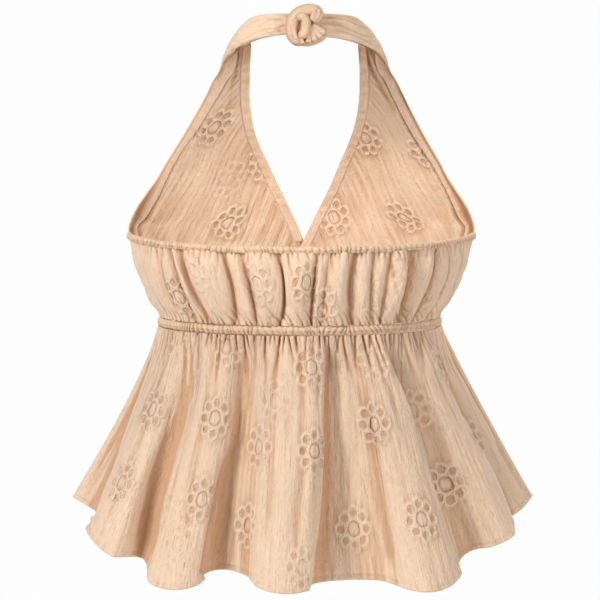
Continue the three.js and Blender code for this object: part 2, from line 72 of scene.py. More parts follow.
def table(names, *rows):
    """A table with named columns: an array for each column of numbers, and a list for one of paths."""
    columns = dict(zip(names.split(), zip(*rows)))
    return {name: values if isinstance(values[0], tuple) else np.array(values, float)
            for name, values in columns.items()}


BACK_ROWS = table(
    "z width depth",
    (-181, 158.7, 95.0),
    (-194, 157.0, 95.5),
    (-212, 153.4, 95.5),
    (-231, 146.6, 95.0),
    (-249, 137.1, 93.5),
    (-259, 130.7, 92.3),
    (-268, 128.0, 92.0),
)
FRONT_ROWS = table(
    "z width depth middle neck arm",
    (-48, 114, 64.5, 26.6, 51.3, 47.5),
    (-66, 125, 70.0, 21.0, 51.2, 48.1),
    (-85, 132, 74.2, 16.0, 48.7, 52.0),
    (-104, 140, 79.0, 12.0, 43.8, 55.2),
    (-122, 148, 82.5, 8.0, 36.0, 58.6),
    (-142, 153, 87.4, 4.0, 27.6, 64.1),
    (-162, 158.5, 92.6, 1.0, 18.2, 73.0),
    (-175, 160, 95.5, 0, 12.0, 80.0),
    (-184, 159, 97.5, 0, 7.5, 90),
    (-201, 156.0, 100.0, 0, 0, 90),
    (-228, 147.9, 100.5, 0, -13, 90),
    (-249, 137.1, 98.5, 0, -25, 90),
    (-264, 128.8, 96.5, 0, -33, 90),
)
PANEL_HEIGHTS = (
    -48, -60, -73, -86, -99, -112, -125, -138, -151, -164, -175, -184, -193, -202, -214, -228, -242, -254,
    -263.7,
)
# The neck strap from the knot to the panel: its upper edge, its lower edge, thickness and bulge
STRAP_ROWS = table(
    "upper_x upper_y upper_z lower_x lower_y lower_z thick bulge",
    (5, 55, 9, 5, 57, -8, 5.0, 2.5),
    (16, 55, 10, 17, 58, -8, 5.5, 2.5),
    (28, 53, 10, 30, 56, -9.5, 5.5, 2.5),
    (40, 46.5, 9, 44, 50.5, -12.5, 5.5, 3.5),
    (48, 37, 6, 55, 42, -16.5, 5.5, 4.5),
    (53, 25, 1, 63, 30, -20.5, 5.5, 5),
    (53, 12, -5, 69.5, 17, -25, 5.5, 6),
    (50.5, 1, -12.5, 74, 6, -30, 5.0, 6),
    (50.5, -9, -21.5, 76.5, -3, -36, 4.0, 4.5),
    (51.2, -20, -34, 79.5, -11, -42, 2.6, 2.5),
)
RIGHT_STRAP_DROP = 2.5
STRAP_EDGE_FULLNESS = 0.35
# Pixels of the photograph where the rolled strip along each armhole meets the cup
ARM_STRIP = {
    1: table(
        "x row", (242, 47), (234, 65), (225, 82), (212, 102), (195, 130), (182, 145), (174, 160), (165, 175),
        (159, 190), (152, 205), (147, 217), (146, 232),
    ),
    -1: table(
        "x row", (370, 50), (380, 68), (391, 90), (411, 128), (425, 149), (438, 169), (447, 185), (453, 199),
        (459, 213), (461, 223), (461, 238),
    ),
}
BUST = {"x": 76, "z": -124, "out": 13, "wide": 36, "high": 32}
CUP_BULGE = {"full": 9, "edge": 2.4}
CROSSING = {"vee": 3.6, "waist": 2.0, "near": 25, "far": 85}
VEE_SHIFT = 2.4
# How far the top leans to the side at each height
LEAN_ROWS = table(
    "z shift",
    (20, -2.3), (-60, -2.3), (-180, 0.4), (-268, 2.1), (-300, 0.2), (-360, -0.8), (-430, 0), (-490, 0),
)

# Folds of the gathered band as the photograph shows them: where each fold's valley or crest crosses
# three rows of pixels, and how far the cloth stands out there
BAND_FOLD_ROWS = {"top": 253, "middle": 287, "bottom": 320}
BAND_FOLDS = table(
    "top middle bottom out",
    (144, 150, 167, -0.8), (152, 159, 173, 1.2), (160, 166, 180, -1.2), (166, 173, 188, 1.4),
    (171, 181, 196, -2.6), (175, 187, 200, 2.2), (180, 191, 208, -3.2), (196, 207, 219, 5.0),
    (213, 221, 227, 3.0), (222, 231, 235, -5.0), (234, 243, 250, 3.0), (241, 250, 256, -3.0),
    (256, 263, 266, 5.0), (268, 277, 272, 3.4), (278, 284, 281, -5.0), (287, 288, 294, 3.0),
    (302, 301, 300, 5.0), (317, 313, 311, -3.0), (322, 318, 315, 2.4), (329, 325, 322, -0.2),
    (343, 339, 337, 4.4), (354, 350, 351, -4.6), (366, 363, 362, 3.0), (374, 371, 370, -1.6),
    (384, 378, 376, 2.4), (391, 385, 379, -0.6), (399, 399, 384, 5.2), (413, 408, 400, -5.0),
    (431, 421, 407, 3.0), (436, 430, 414, -2.8), (443, 438, 421, 2.8), (449, 444, 428, -1.8),
    (456, 449, 433, 1.6), (462, 454, 437, -1.0),
)
GATHERED_FULLNESS = 0.4

# Flutes of the peplum: angle of the fold line at the waist, and where it meets the hem
BACK_FLUTES = table(
    "angle x y z",
    (90, 213, 0, -433), (78, 191, 36, -441), (68, 193, 80, -448), (60, 168, 122, -462),
    (48.5, 141, 106, -468), (41, 133, 138, -482), (35.6, 112, 154, -485), (29, 91, 147, -483),
    (23.5, 72, 122, -475), (18.5, 50, 128, -478), (12, 38, 160, -482), (4, 15, 170, -485),
    (-5, -7, 161, -484), (-11, -22, 131, -484), (-15.5, -44, 120, -484), (-20.5, -70, 125, -484),
    (-25, -90, 148, -486), (-30, -109, 155, -487), (-36, -129, 144, -484), (-41, -143, 119, -474),
    (-46, -152, 94, -464), (-51, -170, 89, -461), (-57, -189, 76, -454), (-65, -194, 47, -444),
    (-77, -207, 24, -437), (-90, -214, 0, -432),
)
FRONT_FLUTES = table(
    "angle x y z",
    (-90, -214, 0, -432), (-100, -203, -28, -435), (-109, -198, -58, -442), (-118, -190, -94, -450),
    (-127, -160, -100, -461), (-135, -142, -118, -471), (-143, -123, -148, -480),
    (-151, -96, -156, -484), (-158, -70, -134, -482), (-165, -46, -128, -483), (-172, -24, -150, -486),
    (-180, 0, -169, -488), (-190, 30, -163, -487), (-197, 48, -137, -482), (-204, 70, -128, -479),
    (-211, 96, -151, -482), (-220, 128, -143, -478), (-228, 146, -106, -466), (-238, 172, -112, -458),
    (-247, 199, -73, -446), (-258, 197, -33, -437), (-270, 213, 0, -433),
)

# Main creases, by the pixels of the photograph along each: how deep it is, how far it reaches to the left
# or up and to the right or down in millimetres, and over how many pixels it opens and closes
PEPLUM_CREASES = table(
    "deep before after opens closes pixels",
    (5, 9, 9, 60, 50, ((196, 336), (195, 351), (182, 412), (164, 458), (149, 516), (144, 575))),
    (7.5, 5, 14, 45, 0, ((243, 328), (242, 345), (240, 396), (235, 443), (224, 483), (207, 570))),
    (10, 3, 16, 40, 0, ((330, 330), (329.5, 350), (329, 430), (328, 500), (316, 590))),
    (11, 3, 14, 50, 0, ((388, 330), (391, 345), (424, 427), (441, 488), (472, 585))),
    (9, 3, 12, 50, 0, ((432, 326), (437, 340), (468, 412), (502, 473), (520, 520))),
    (5, 12, 3.5, 60, 0, ((158, 326), (155, 334), (124, 418), (90, 512))),
    (3, 5, 7, 40, 60, ((276, 330), (275, 350), (272, 400), (268, 470), (262, 560))),
    (3.5, 7, 5, 40, 30, ((352, 330), (355, 350), (366, 410), (378, 480), (392, 575))),
    (2.2, 6, 6, 40, 60, ((297, 330), (299, 352), (303, 420), (300, 500), (292, 580))),
    (2.4, 6, 6, 40, 50, ((218, 330), (216, 350), (208, 400), (192, 470), (182, 560))),
)
LEFT_FRONT_CREASES = table(
    "deep before after opens closes pixels",
    (2.2, 3.5, 2, 1, 50, ((241, 44), (238.5, 58), (236, 70), (231, 90), (225, 112))),
    (0.9, 2, 3, 20, 20, ((238, 88), (225, 112), (212, 138))),
)
RIGHT_FRONT_CREASES = table(
    "deep before after opens closes pixels",
    (2.6, 2, 3.5, 1, 70, ((367, 45), (375, 63), (388, 84), (402, 104), (420, 136))),
    (2.0, 2, 3, 1, 40, ((361, 44), (367, 62), (383, 92), (401, 124))),
    (1.4, 2, 3, 1, 30, ((373, 50), (381, 66), (396, 90), (411, 116))),
)
LEFT_STRAP_CREASES = table(
    "deep before after opens closes pixels",
    (2.4, 4.5, 1.1, 3, 8, ((272.5, 27.6), (260.3, 29.5), (248, 34.8), (237.3, 41.7))),
    (1.5, 1.4, 4, 4, 12, ((285, 19.5), (275, 20), (265, 21.5), (257, 26.5), (250, 31))),
    (2.2, 1.2, 1.0, 1, 2, ((286, 25), (280, 27.2), (278.4, 28.7), (275.5, 26.8))),
    (2.0, 1.1, 1.3, 1, 2, ((284, 32), (278.6, 30.4), (276.6, 33.4))),
    (1.8, 1.2, 1.3, 1, 3, ((275, 34.8), (269.4, 33.2), (265, 30))),
    (1.3, 1.2, 1.4, 1, 3, ((264, 36.5), (259, 33.5), (260.5, 31))),
    (1.2, 1.5, 3, 4, 8, ((268, 15.5), (256, 19.5), (246, 26), (240, 33))),
    (3.0, 1.2, 1.8, 1, 1, ((228.5, 53), (229.5, 49.5), (232, 48.3), (236, 47.3), (240.4, 45.5))),
)
RIGHT_STRAP_CREASES = table(
    "deep before after opens closes pixels",
    (3.0, 3.6, 0.9, 1, 12, ((320, 18.6), (326, 17.6), (338, 17.4), (352, 21), (361, 25.5), (372, 31))),
    (2.0, 3.0, 1.0, 1, 12, ((316, 23.6), (330, 23.2), (344, 26), (358, 32), (374, 38))),
    (1.6, 3.0, 1.1, 8, 12, ((330, 29), (344, 31.5), (358, 36), (372, 43), (379, 50))),
    (1.2, 1.2, 2.6, 6, 10, ((334, 14.5), (348, 16.5), (358, 20), (366, 26))),
)

# Embossed flowers: the pixel of the photograph where each has its middle, and how strongly it shows
PEPLUM_FLOWERS = (
    (152, 409, 1.0), (215, 418, 1.0), (258, 447, 0.7), (122, 483, 0.9), (202, 499, 0.9), (248, 526, 0.7),
    (275, 400, 0.35), (312, 367, 0.8), (315, 451, 1.0), (374, 424, 1.0), (422, 408, 0.5), (446, 366, 0.7),
    (480, 434, 0.8), (450, 483, 1.0), (422, 520, 1.0), (354, 529, 0.8), (303, 568, 0.5), (178, 338, 0.4),
    (226, 346, 0.6), (374, 360, 0.45), (160, 508, 0.3), (178, 545, 0.3),
)
BAND_FLOWERS = (
    (180, 298, 1.0), (194, 272, 0.5), (257, 285, 0.6), (307, 283, 1.0), (322, 311, 0.9), (374, 300, 0.35),
    (407, 274, 0.4), (440, 300, 0.3),
)
LEFT_CUP_FLOWERS = ((213, 127, 1.0), (263, 165, 0.8), (223, 222, 1.0), (228, 178, 0.25))
RIGHT_CUP_FLOWERS = ((366, 138, 0.9), (430, 155, 1.0), (411, 217, 1.0), (335, 218, 0.8))
# The shape of a flower: its middle ring and dome, the ring that its petals stand on and how far that
# reaches along the grain, the ring of a petal, and the width and height of its ridges
FLOWER = {
    "middle": 6.3, "dome": 4.9, "petals": 8, "ring": 10.9, "ring_high": 14.2, "petal": 3.9,
    "ridge": 1.5, "height": 1.2,
}
FAR_AWAY = 900.0
# Depths in millimetres at which a crinkle and a fold count as a full hollow, and a fold line on a strap as
# full; each sets how much painted shade the cloth takes
FINE_HOLLOW = 0.45
BROAD_HOLLOW = 2.2
STRAP_HOLLOW = 3.2
# How much painted shade darkens tubes more than flat cloth, and the sides of the knot's ropes more than their
# crests
TUBE_SHADE = 0.6
ROPE_SIDE_SHADE = 0.9

# Waves of the cloth: the height, size across, size along and seed of each kind
BAND_WRINKLES = ((0.9, 6.5, 22, 53), (0.4, 2.6, 8, 54))
CUP_WRINKLES = ((0.35, 2.6, 40, 71), (0.4, 9, 80, 75))
STRAP_WRINKLES = ((0.16, 3.5, 14, 81), (0.2, 1.8, 22, 83))
# The groove along the armhole strip, which broadens between these depths below the nape
STRIP_GROOVE = {"deep": 3.4, "narrow": 1.3, "broad": 4.2, "from": 160, "to": 188}
# Where a cup swells: in from its strip and its neck edge, and between these depths below the nape
CUP_SWELL = {"strip": 44, "neck": 78, "starts": 50, "full": 110, "falls": 205, "ends": 255}
EMBOSS_GAIN = 1.1
# Reach in millimetres of the painted shade along a strap's fold lines
FOLD_LINE_REACH = 0.8
PLEATS_SHOW = {1: 0.8, -1: 0.55}
FACING_FULLNESS = {"neck": 0.3, "arm": 2.2}
FACING_TURNED_IN = 1.5
LEAST_FLAT_WIDTH = 10.1


def ease(value, start, end):
    """0 at start and 1 at end, eased between them."""
    t = np.clip((value - start) / (end - start), 0, 1)
    return t * t * (3 - 2 * t)


def mix(a, b, t):
    return a + (b - a) * t


def hermite(x, y, at):
    """A smooth curve through points in the order of x, read at these values."""
    ends = np.arange(len(x))
    before, after = np.maximum(ends - 1, 0), np.minimum(ends + 1, len(x) - 1)
    spread = (x[after] - x[before]).reshape((-1,) + (1,) * (y.ndim - 1))
    slope = (y[after] - y[before]) / spread
    i = np.clip(np.searchsorted(x, at, side="right") - 1, 0, len(x) - 2)
    span = x[i + 1] - x[i]
    t = np.clip((at - x[i]) / span, 0, 1)
    shape = t.shape + (1,) * (y.ndim - 1)
    t, span = t.reshape(shape), span.reshape(shape)
    t2, t3 = t * t, t * t * t
    start = (2 * t3 - 3 * t2 + 1) * y[i] + (t3 - 2 * t2 + t) * span * slope[i]
    return start + (3 * t2 - 2 * t3) * y[i + 1] + (t3 - t2) * span * slope[i + 1]


def read(rows, name, z):
    """A column of a table whose rows run downwards, read at heights z."""
    return hermite(-rows["z"], rows[name], -np.asarray(z, float))


def unit(vectors):
    return vectors / np.maximum(np.linalg.norm(vectors, axis=-1, keepdims=True), 1e-9)


def grid_normals(points):
    """Unit normals of a grid of points, pointing away from the upright axis."""
    normal = unit(np.cross(np.gradient(points, axis=0), np.gradient(points, axis=1)))
    return normal * np.sign(np.sum(normal[..., :2] * points[..., :2]))


def turns(sides):
    """Angles of the points of a closed section, in radians."""
    return 2 * math.pi * np.arange(sides) / sides


def path_lengths(points):
    """Distance walked along a path at each of its points, in millimetres."""
    return np.pad(np.linalg.norm(np.diff(points, axis=0), axis=-1).cumsum(), (1, 0))


def noise(a, b, wide, long, seed):
    """Smooth random waves of about this size along a and b, from -1 to 1."""
    lattice = np.random.default_rng(seed).uniform(-1, 1, (257, 257))
    x, y = a / wide, b / long
    i, j = np.floor(x).astype(int), np.floor(y).astype(int)
    u, v = x - i, y - j
    u, v = u * u * (3 - 2 * u), v * v * (3 - 2 * v)
    i, j = i % 256, j % 256
    low = mix(lattice[i, j], lattice[i + 1, j], u)
    high = mix(lattice[i, j + 1], lattice[i + 1, j + 1], u)
    return mix(low, high, v)


def wrinkles(across, along, kinds, seed=0):
    """Sum of waves, each kind given by its height, its size across and along, and its seed."""
    return sum(height * noise(across, along, wide, long, own + seed) for height, wide, long, own in kinds)


def lean(z):
    return read(LEAN_ROWS, "shift", z)


def to_part(points):
    """Points of the body frame, in millimetres, as metres in the frame of the part."""
    moved = np.array(points, float)
    moved[..., 0] += lean(moved[..., 2])
    moved[..., 1] -= NAPE_DEPTH
    return moved / 1000


def to_picture(points):
    """Where the photograph's camera sees points of the body frame: pixel column, row and distance."""
    x = points[..., 0] + lean(points[..., 2])
    y, z = points[..., 1], points[..., 2] - LOOK_AT_Z
    distance = CAMERA_DISTANCE - y * math.cos(CAMERA_TILT) - z * math.sin(CAMERA_TILT)
    rise = z * math.cos(CAMERA_TILT) - y * math.sin(CAMERA_TILT)
    pixels = FRAME_PIXELS / FRAME_WIDTH * CAMERA_DISTANCE / distance
    return AXIS_PIXEL - x * pixels, FRAME_PIXELS / 2 - rise * pixels, distance


def pixel_size(distance):
    """Millimetres that a pixel of the photograph covers at this distance from the camera."""
    return distance / CAMERA_DISTANCE * FRAME_WIDTH / FRAME_PIXELS


def from_picture(column, row, y):
    """The point of the body frame at depth y that the photograph shows at a pixel."""
    z = 0.0
    for _ in range(12):
        _, seen, distance = to_picture(np.array([0.0, y, z]))
        z += (seen - row) * pixel_size(distance)
    _, _, distance = to_picture(np.array([0.0, y, z]))
    x = (AXIS_PIXEL - column) * pixel_size(distance)
    return np.array([x - float(lean(z)), y, z])


def blurred(values, reach):
    """A grid of vectors averaged over this many cells each way."""
    for axis in (0, 1):
        pad = [(0, 0)] * values.ndim
        pad[axis] = (reach + 1, reach)
        total = np.cumsum(np.pad(values, pad, mode="edge"), axis=axis)
        count = values.shape[axis]
        high = np.take(total, np.arange(2 * reach + 1, 2 * reach + 1 + count), axis=axis)
        values = (high - np.take(total, np.arange(count), axis=axis)) / (2 * reach + 1)
    return values


def hollows(points, outward):
    """How far each point of a grid lies in a hollow, from 0 to 1, at two sizes, which sets its painted
    shading.
    """
    fine = np.sum((blurred(points, 3) - points) * outward, axis=-1)
    broad = np.sum((blurred(points, 11) - points) * outward, axis=-1)
    return np.clip(fine / FINE_HOLLOW, -0.4, 1) * 0.5 + np.clip(broad / BROAD_HOLLOW, -0.4, 1) * 0.6


def make_mesh(name, points, faces, cloth, material, values, flowers=None):
    """A mesh piece in the frame of the part, with cloth coordinates in metres as its UV map.

    faces is a list of arrays of corners, values has a number for each point under a name that the
    material reads, and flowers holds flower coordinates for each of the arrays of faces.
    """
    mesh = bpy.data.meshes.new(name)
    placed = to_part(points)
    volume = 0
    for group in faces:
        corners = placed[group]
        for k in range(1, group.shape[1] - 1):
            volume += np.sum(corners[:, 0] * np.cross(corners[:, k], corners[:, k + 1]))
    turn = slice(None, None, -1 if volume < 0 else 1)
    index = np.concatenate([group[:, turn].ravel() for group in faces]).astype(np.int32)
    sizes = np.concatenate([np.full(len(group), group.shape[1]) for group in faces])
    starts = np.pad(sizes.cumsum(), (1, 0))[:-1]
    mesh.vertices.add(len(placed))
    mesh.vertices.foreach_set("co", placed.ravel())
    mesh.loops.add(len(index))
    mesh.loops.foreach_set("vertex_index", index)
    mesh.polygons.add(len(sizes))
    mesh.polygons.foreach_set("loop_start", starts.astype(np.int32))
    mesh.update(calc_edges=True)
    mesh.polygons.foreach_set("use_smooth", np.ones(len(mesh.polygons), dtype=bool))

    def add_map(title, pairs):
        layer = mesh.uv_layers.new(name=title)
        layer.data.foreach_set("uv", (pairs / 1000).ravel().astype(np.float32))

    add_map("cloth", cloth[index])
    if flowers:
        add_map("flower", np.concatenate([group[:, turn].reshape(-1, 2) for group in flowers]))
    for title, numbers in values.items():
        layer = mesh.attributes.new(title, "FLOAT", "POINT")
        layer.data.foreach_set("value", np.asarray(numbers, np.float32).ravel())
    mesh.materials.append(material)
    piece = bpy.data.objects.new(name, mesh)
    scene.collection.objects.link(piece)
    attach(piece, "root")
    return piece


def grid_quads(rows, columns, first=0):
    corner = first + np.arange(rows - 1)[:, None] * columns + np.arange(columns - 1)[None, :]
    quads = np.stack([corner, corner + 1, corner + columns + 1, corner + columns], axis=-1)
    return quads.reshape(-1, 4)


def rim(near, far, step, turned):
    """Faces between the edge of a fine grid and that of a grid with one point in every few."""
    count = len(far) - 1
    strips = np.stack([near[k::step][:count] for k in range(step + 1)], axis=1)
    if turned:
        return np.concatenate([strips[:, ::-1], far[:-1, None], far[1:, None]], axis=1)
    return np.concatenate([strips, far[1:, None], far[:-1, None]], axis=1)


def shell(name, face, back, across, along, material, step=1, flowers=None, face_painted_shade=0.0, back_painted_shade=0.0,
          pleated=None):
    """A thin closed shell between two grids of points, its back with one point in every few."""
    rows, columns = face.shape[:2]
    near = np.arange(rows * columns).reshape(rows, columns)
    coarse = back[::step, ::step]
    far = rows * columns + np.arange(coarse.shape[0] * coarse.shape[1]).reshape(coarse.shape[:2])
    faces = [
        grid_quads(rows, columns),
        grid_quads(coarse.shape[0], coarse.shape[1], rows * columns)[:, ::-1],
        rim(near[0], far[0], step, True),
        rim(near[-1], far[-1], step, False),
        rim(near[:, 0], far[:, 0], step, False),
        rim(near[:, -1], far[:, -1], step, True),
    ]
    points = np.concatenate([face.reshape(-1, 3), coarse.reshape(-1, 3)])
    pairs = np.stack(np.broadcast_arrays(across, along), axis=-1)
    cloth = np.concatenate([pairs.reshape(-1, 2), pairs[::step, ::step].reshape(-1, 2)])
    # Painted shading of each point: its depth in a hollow, with the extra painted shade given for the face
    # and the back
    depth = hollows(face, unit(face - back))
    painted_shading = np.concatenate([(depth + face_painted_shade).ravel(), (back_painted_shade - depth)[::step, ::step].ravel()])
    values = {"painted_shading": painted_shading}
    if pleated is not None:
        pleated = np.broadcast_to(pleated, depth.shape)
        values["pleated"] = np.concatenate([pleated.ravel(), pleated[::step, ::step].ravel()])
    corners = None
    if flowers:
        corners = [flowers["corners"]] + [np.full((*group.shape, 2), FAR_AWAY) for group in faces[1:]]
        values["emboss"] = np.pad(flowers["strength"].ravel(), (0, coarse.shape[0] * coarse.shape[1]))
    return make_mesh(name, points, faces, cloth, material, values, corners)


def ring_faces(sections, first=0):
    """Faces of a closed tube through rings of points, with its two ends."""
    count, sides = sections.shape[:2]
    ring = first + np.arange(count)[:, None] * sides + np.arange(sides)[None, :]
    turned = np.roll(ring, -1, axis=1)
    walls = np.stack([ring[:-1], turned[:-1], turned[1:], ring[1:]], axis=-1).reshape(-1, 4)
    ends = []
    for row in (ring[0], ring[-1][::-1]):
        pairs = range(sides // 2 - 1)
        ends.append(np.array([(row[k + 1], row[k], row[sides - 1 - k], row[sides - 2 - k]) for k in pairs]))
    return [walls, *ends]


def ring_hollows(sections):
    """The painted shade of a tube through rings of points: its hollows, and an even darkening of the whole
    tube.
    """
    outward = unit(sections - sections.mean(axis=1, keepdims=True))
    return np.clip(hollows(sections, outward) + TUBE_SHADE, -0.4, 1)


def tube(name, sections, across, along, material):
    cloth = np.stack(np.broadcast_arrays(across, along), axis=-1).reshape(-1, 2)
    values = {"painted_shading": ring_hollows(sections)}
    return make_mesh(name, sections.reshape(-1, 3), ring_faces(sections), cloth, material, values)


def arc_lengths(points):
    """Distance along each row and down each column of a grid, in millimetres."""
    across = np.linalg.norm(np.diff(points, axis=1), axis=-1).cumsum(axis=1)
    along = np.linalg.norm(np.diff(points, axis=0), axis=-1).cumsum(axis=0)
    return np.pad(across, ((0, 0), (1, 0))), np.pad(along, ((1, 0), (0, 0)))


def flower_relief(a, b):
    """Height of an embossed flower, a across the grain and b along it from its middle."""
    b = b * FLOWER["ring"] / FLOWER["ring_high"]
    ridge = FLOWER["ridge"]
    wedge = math.pi / FLOWER["petals"]
    radius, turn = np.hypot(a, b), np.arctan2(a, b)
    turn = np.abs((turn + wedge) % (2 * wedge) - wedge)
    petal = np.hypot(radius * np.sin(turn), radius * np.cos(turn) - FLOWER["ring"])
    height = np.exp(-(((petal - FLOWER["petal"]) / ridge) ** 2))
    height = np.maximum(height, np.exp(-(((radius - FLOWER["middle"]) / ridge) ** 2)))
    height = np.maximum(height, 0.95 * np.clip(1 - (radius / FLOWER["dome"]) ** 2, 0, 1) ** 0.6)
    return FLOWER["height"] * (height - 0.3 * (1 - ease(petal, 1.0, 2.6)))


def photo_places(points, pixels):
    """The rows and columns of a grid of points where the photograph shows these pixels."""
    column, row, distance = to_picture(points)
    places = []
    for x, y, strength in pixels:
        off = np.hypot(column - x, row - y)
        if off.min() > 5:
            continue
        near = distance[off < 5].min()
        score = off + 0.4 * (distance - near) + 1000 * (off > 5)
        places.append((*np.unravel_index(np.argmin(score), score.shape), strength))
    return places


def lattice_places(points, first_across, first_along, across_step, along_step):
    """Rows and columns of a half-drop lattice over a grid of points."""
    across, along = arc_lengths(points)
    middle = across[len(across) // 2]
    places = []
    for lane in range(int((middle[-1] - first_across) / across_step) + 1):
        j = np.searchsorted(middle, first_across + lane * across_step)
        start = first_along + lane % 2 * along_step / 2
        for b in np.arange(start, along[-1, min(j, along.shape[1] - 1)] - 8, along_step):
            places.append((np.searchsorted(along[:, j], b), j, 0.9))
    return places


def flower_field(points, places, slope=0.0):
    """Relief of the nearest flower at each point, how strongly it shows, and its faces' coordinates."""
    across, along = arc_lengths(points)
    rows, columns = across.shape
    i0, j0, strength = (np.array(values) for values in zip(*places))
    sine, cosine = math.sin(slope), math.cos(slope)

    def local(i, j, flower):
        a = across[i, j] - across[i, j0[flower]]
        b = along[i, j] - along[i0[flower], j0[flower]]
        return a * cosine - b * sine, a * sine + b * cosine

    i, j = np.meshgrid(np.arange(rows), np.arange(columns), indexing="ij")
    best = np.full((rows, columns), np.inf)
    nearest = np.zeros((rows, columns), int)
    for flower in range(len(places)):
        a, b = local(i, j, flower)
        reach = np.hypot(a, b * 0.5)
        nearest = np.where(reach < best, flower, nearest)
        best = np.minimum(best, reach)
    owner = nearest[:-1, :-1].ravel()
    i, j = i[:-1, :-1].ravel(), j[:-1, :-1].ravel()
    corners = [local(i + di, j + dj, owner) for di, dj in ((0, 0), (0, 1), (1, 1), (1, 0))]
    i, j = np.meshgrid(np.arange(rows), np.arange(columns), indexing="ij")
    relief = flower_relief(*local(i, j, nearest)) * strength[nearest]
    corners = np.stack([np.stack(corner, axis=-1) for corner in corners], axis=1)
    return relief, {"corners": corners, "strength": strength[nearest]}


def creases(points, rows):
    """How far creases placed by pixels of the photograph press a grid of points in."""
    column, row, distance = to_picture(points)
    here = np.stack([column, row], axis=-1)
    scale = pixel_size(distance)
    relief = np.zeros(points.shape[:2])
    for index, pixels in enumerate(rows["pixels"]):
        corners = np.array(pixels, float)
        count = len(corners)
        path = hermite(np.arange(float(count)), corners, np.linspace(0, count - 1, 3 * count - 2))
        gap = np.full(relief.shape, np.inf)
        place, side, walked = np.zeros(relief.shape), np.zeros(relief.shape), 0.0
        for a, b in zip(path[:-1], path[1:]):
            span = b - a
            length = np.hypot(*span)
            t = np.clip((here - a) @ span / length**2, 0, 1)
            off = here - a - t[..., None] * span
            near = np.hypot(off[..., 0], off[..., 1])
            closer = near < gap
            steep = abs(span[1]) > abs(span[0])
            side = np.where(closer, off[..., 0] if steep else off[..., 1], side)
            place = np.where(closer, walked + t * length, place)
            gap = np.minimum(gap, near)
            walked += length
        reach = np.where(side < 0, rows["before"][index], rows["after"][index])
        press = np.exp(-((gap * scale / reach) ** 2))
        if rows["opens"][index]:
            press *= ease(place, 0, rows["opens"][index])
        if rows["closes"][index]:
            press *= 1 - ease(place, walked - rows["closes"][index], walked)
        relief -= rows["deep"][index] * press
    return relief


def ring_points(width, back, front, angle, out, z):
    """Points of an elliptical section at angles from the middle of the back, moved out."""
    depth = np.where(np.cos(angle) >= 0, back, front)
    normal = unit(np.stack([np.sin(angle) / width, np.cos(angle) / depth], axis=-1))
    x = width * np.sin(angle) + out * normal[..., 0]
    y = depth * np.cos(angle) + out * normal[..., 1]
    return np.stack(np.broadcast_arrays(x, y, z), axis=-1)


def tucks(position, down, seed, spacing, reach, depth, length):
    """Small gathers along a seam: grooves that open and fade as they leave it."""
    random = np.random.default_rng(seed)
    relief = np.zeros(np.broadcast(position, down).shape)
    at = 0.0
    while at < length:
        at += spacing * random.uniform(0.6, 1.4)
        own_reach = reach * random.uniform(0.45, 1.3)
        own_depth = depth * random.uniform(0.5, 1.2)
        drift = random.uniform(-0.2, 0.2)
        fade = np.clip(1 - down / own_reach, 0, 1) ** 1.5
        width = spacing * (0.15 + 0.27 * np.clip(down / own_reach, 0, 1))
        relief -= own_depth * fade * np.exp(-(((position - at - drift * down) / width) ** 2))
    return relief


# Materials


class Nodes:
    """Short calls for a material's nodes: each returns the output that the next one takes."""

    def __init__(self, name):
        self.material = bpy.data.materials.new(name)
        self.material.use_nodes = True
        self.tree = self.material.node_tree
        self.shader = self.tree.nodes["Principled BSDF"]

    def put(self, kind, inputs, output=0, **settings):
        node = self.tree.nodes.new(kind)
        for key, value in settings.items():
            setattr(node, key, value)
        for key, value in inputs.items():
            if isinstance(value, bpy.types.NodeSocket):
                self.tree.links.new(value, node.inputs[key])
            else:
                node.inputs[key].default_value = value
        return node.outputs[output]

    def maths(self, operation, *values):
        return self.put("ShaderNodeMath", dict(enumerate(values)), operation=operation)

    def vector(self, operation, first, second, output=0):
        return self.put("ShaderNodeVectorMath", {0: first, 1: second}, output, operation=operation)

    def fade(self, value, low, high, at_low, at_high):
        inputs = {"Value": value, "From Min": low, "From Max": high, "To Min": at_low, "To Max": at_high}
        return self.put("ShaderNodeMapRange", inputs, interpolation_type="SMOOTHSTEP")

    def streaks(self, place, across, along, detail):
        stretched = self.vector("MULTIPLY", place, (across, along, 1))
        return self.put("ShaderNodeTexNoise", {"Vector": stretched, "Scale": 1.0, "Detail": detail})

    def bump(self, height, strength, distance, before):
        inputs = {"Height": height, "Strength": strength, "Distance": distance}
        if before:
            inputs["Normal"] = before
        return self.put("ShaderNodeBump", inputs)

    def multiply(self, first, second):
        inputs = {"Factor": 1.0, "A": first, "B": second}
        return self.put("ShaderNodeMix", inputs, 2, data_type="RGBA", blend_type="MULTIPLY")

    def attribute(self, name):
        return self.put("ShaderNodeAttribute", {}, 2, attribute_name=name)

    def tint(self, shade, value, low, high, at_low, at_high):
        """Multiply a colour by one that fades from at_low to at_high as the value rises."""
        pairs = zip(("Red", "Green", "Blue"), at_low, at_high)
        colour = {name: self.fade(value, low, high, first, last) for name, first, last in pairs}
        return self.multiply(shade, self.put("ShaderNodeCombineColor", colour))

    def grey(self, value):
        return self.put("ShaderNodeCombineColor", {"Red": value, "Green": value, "Blue": value})


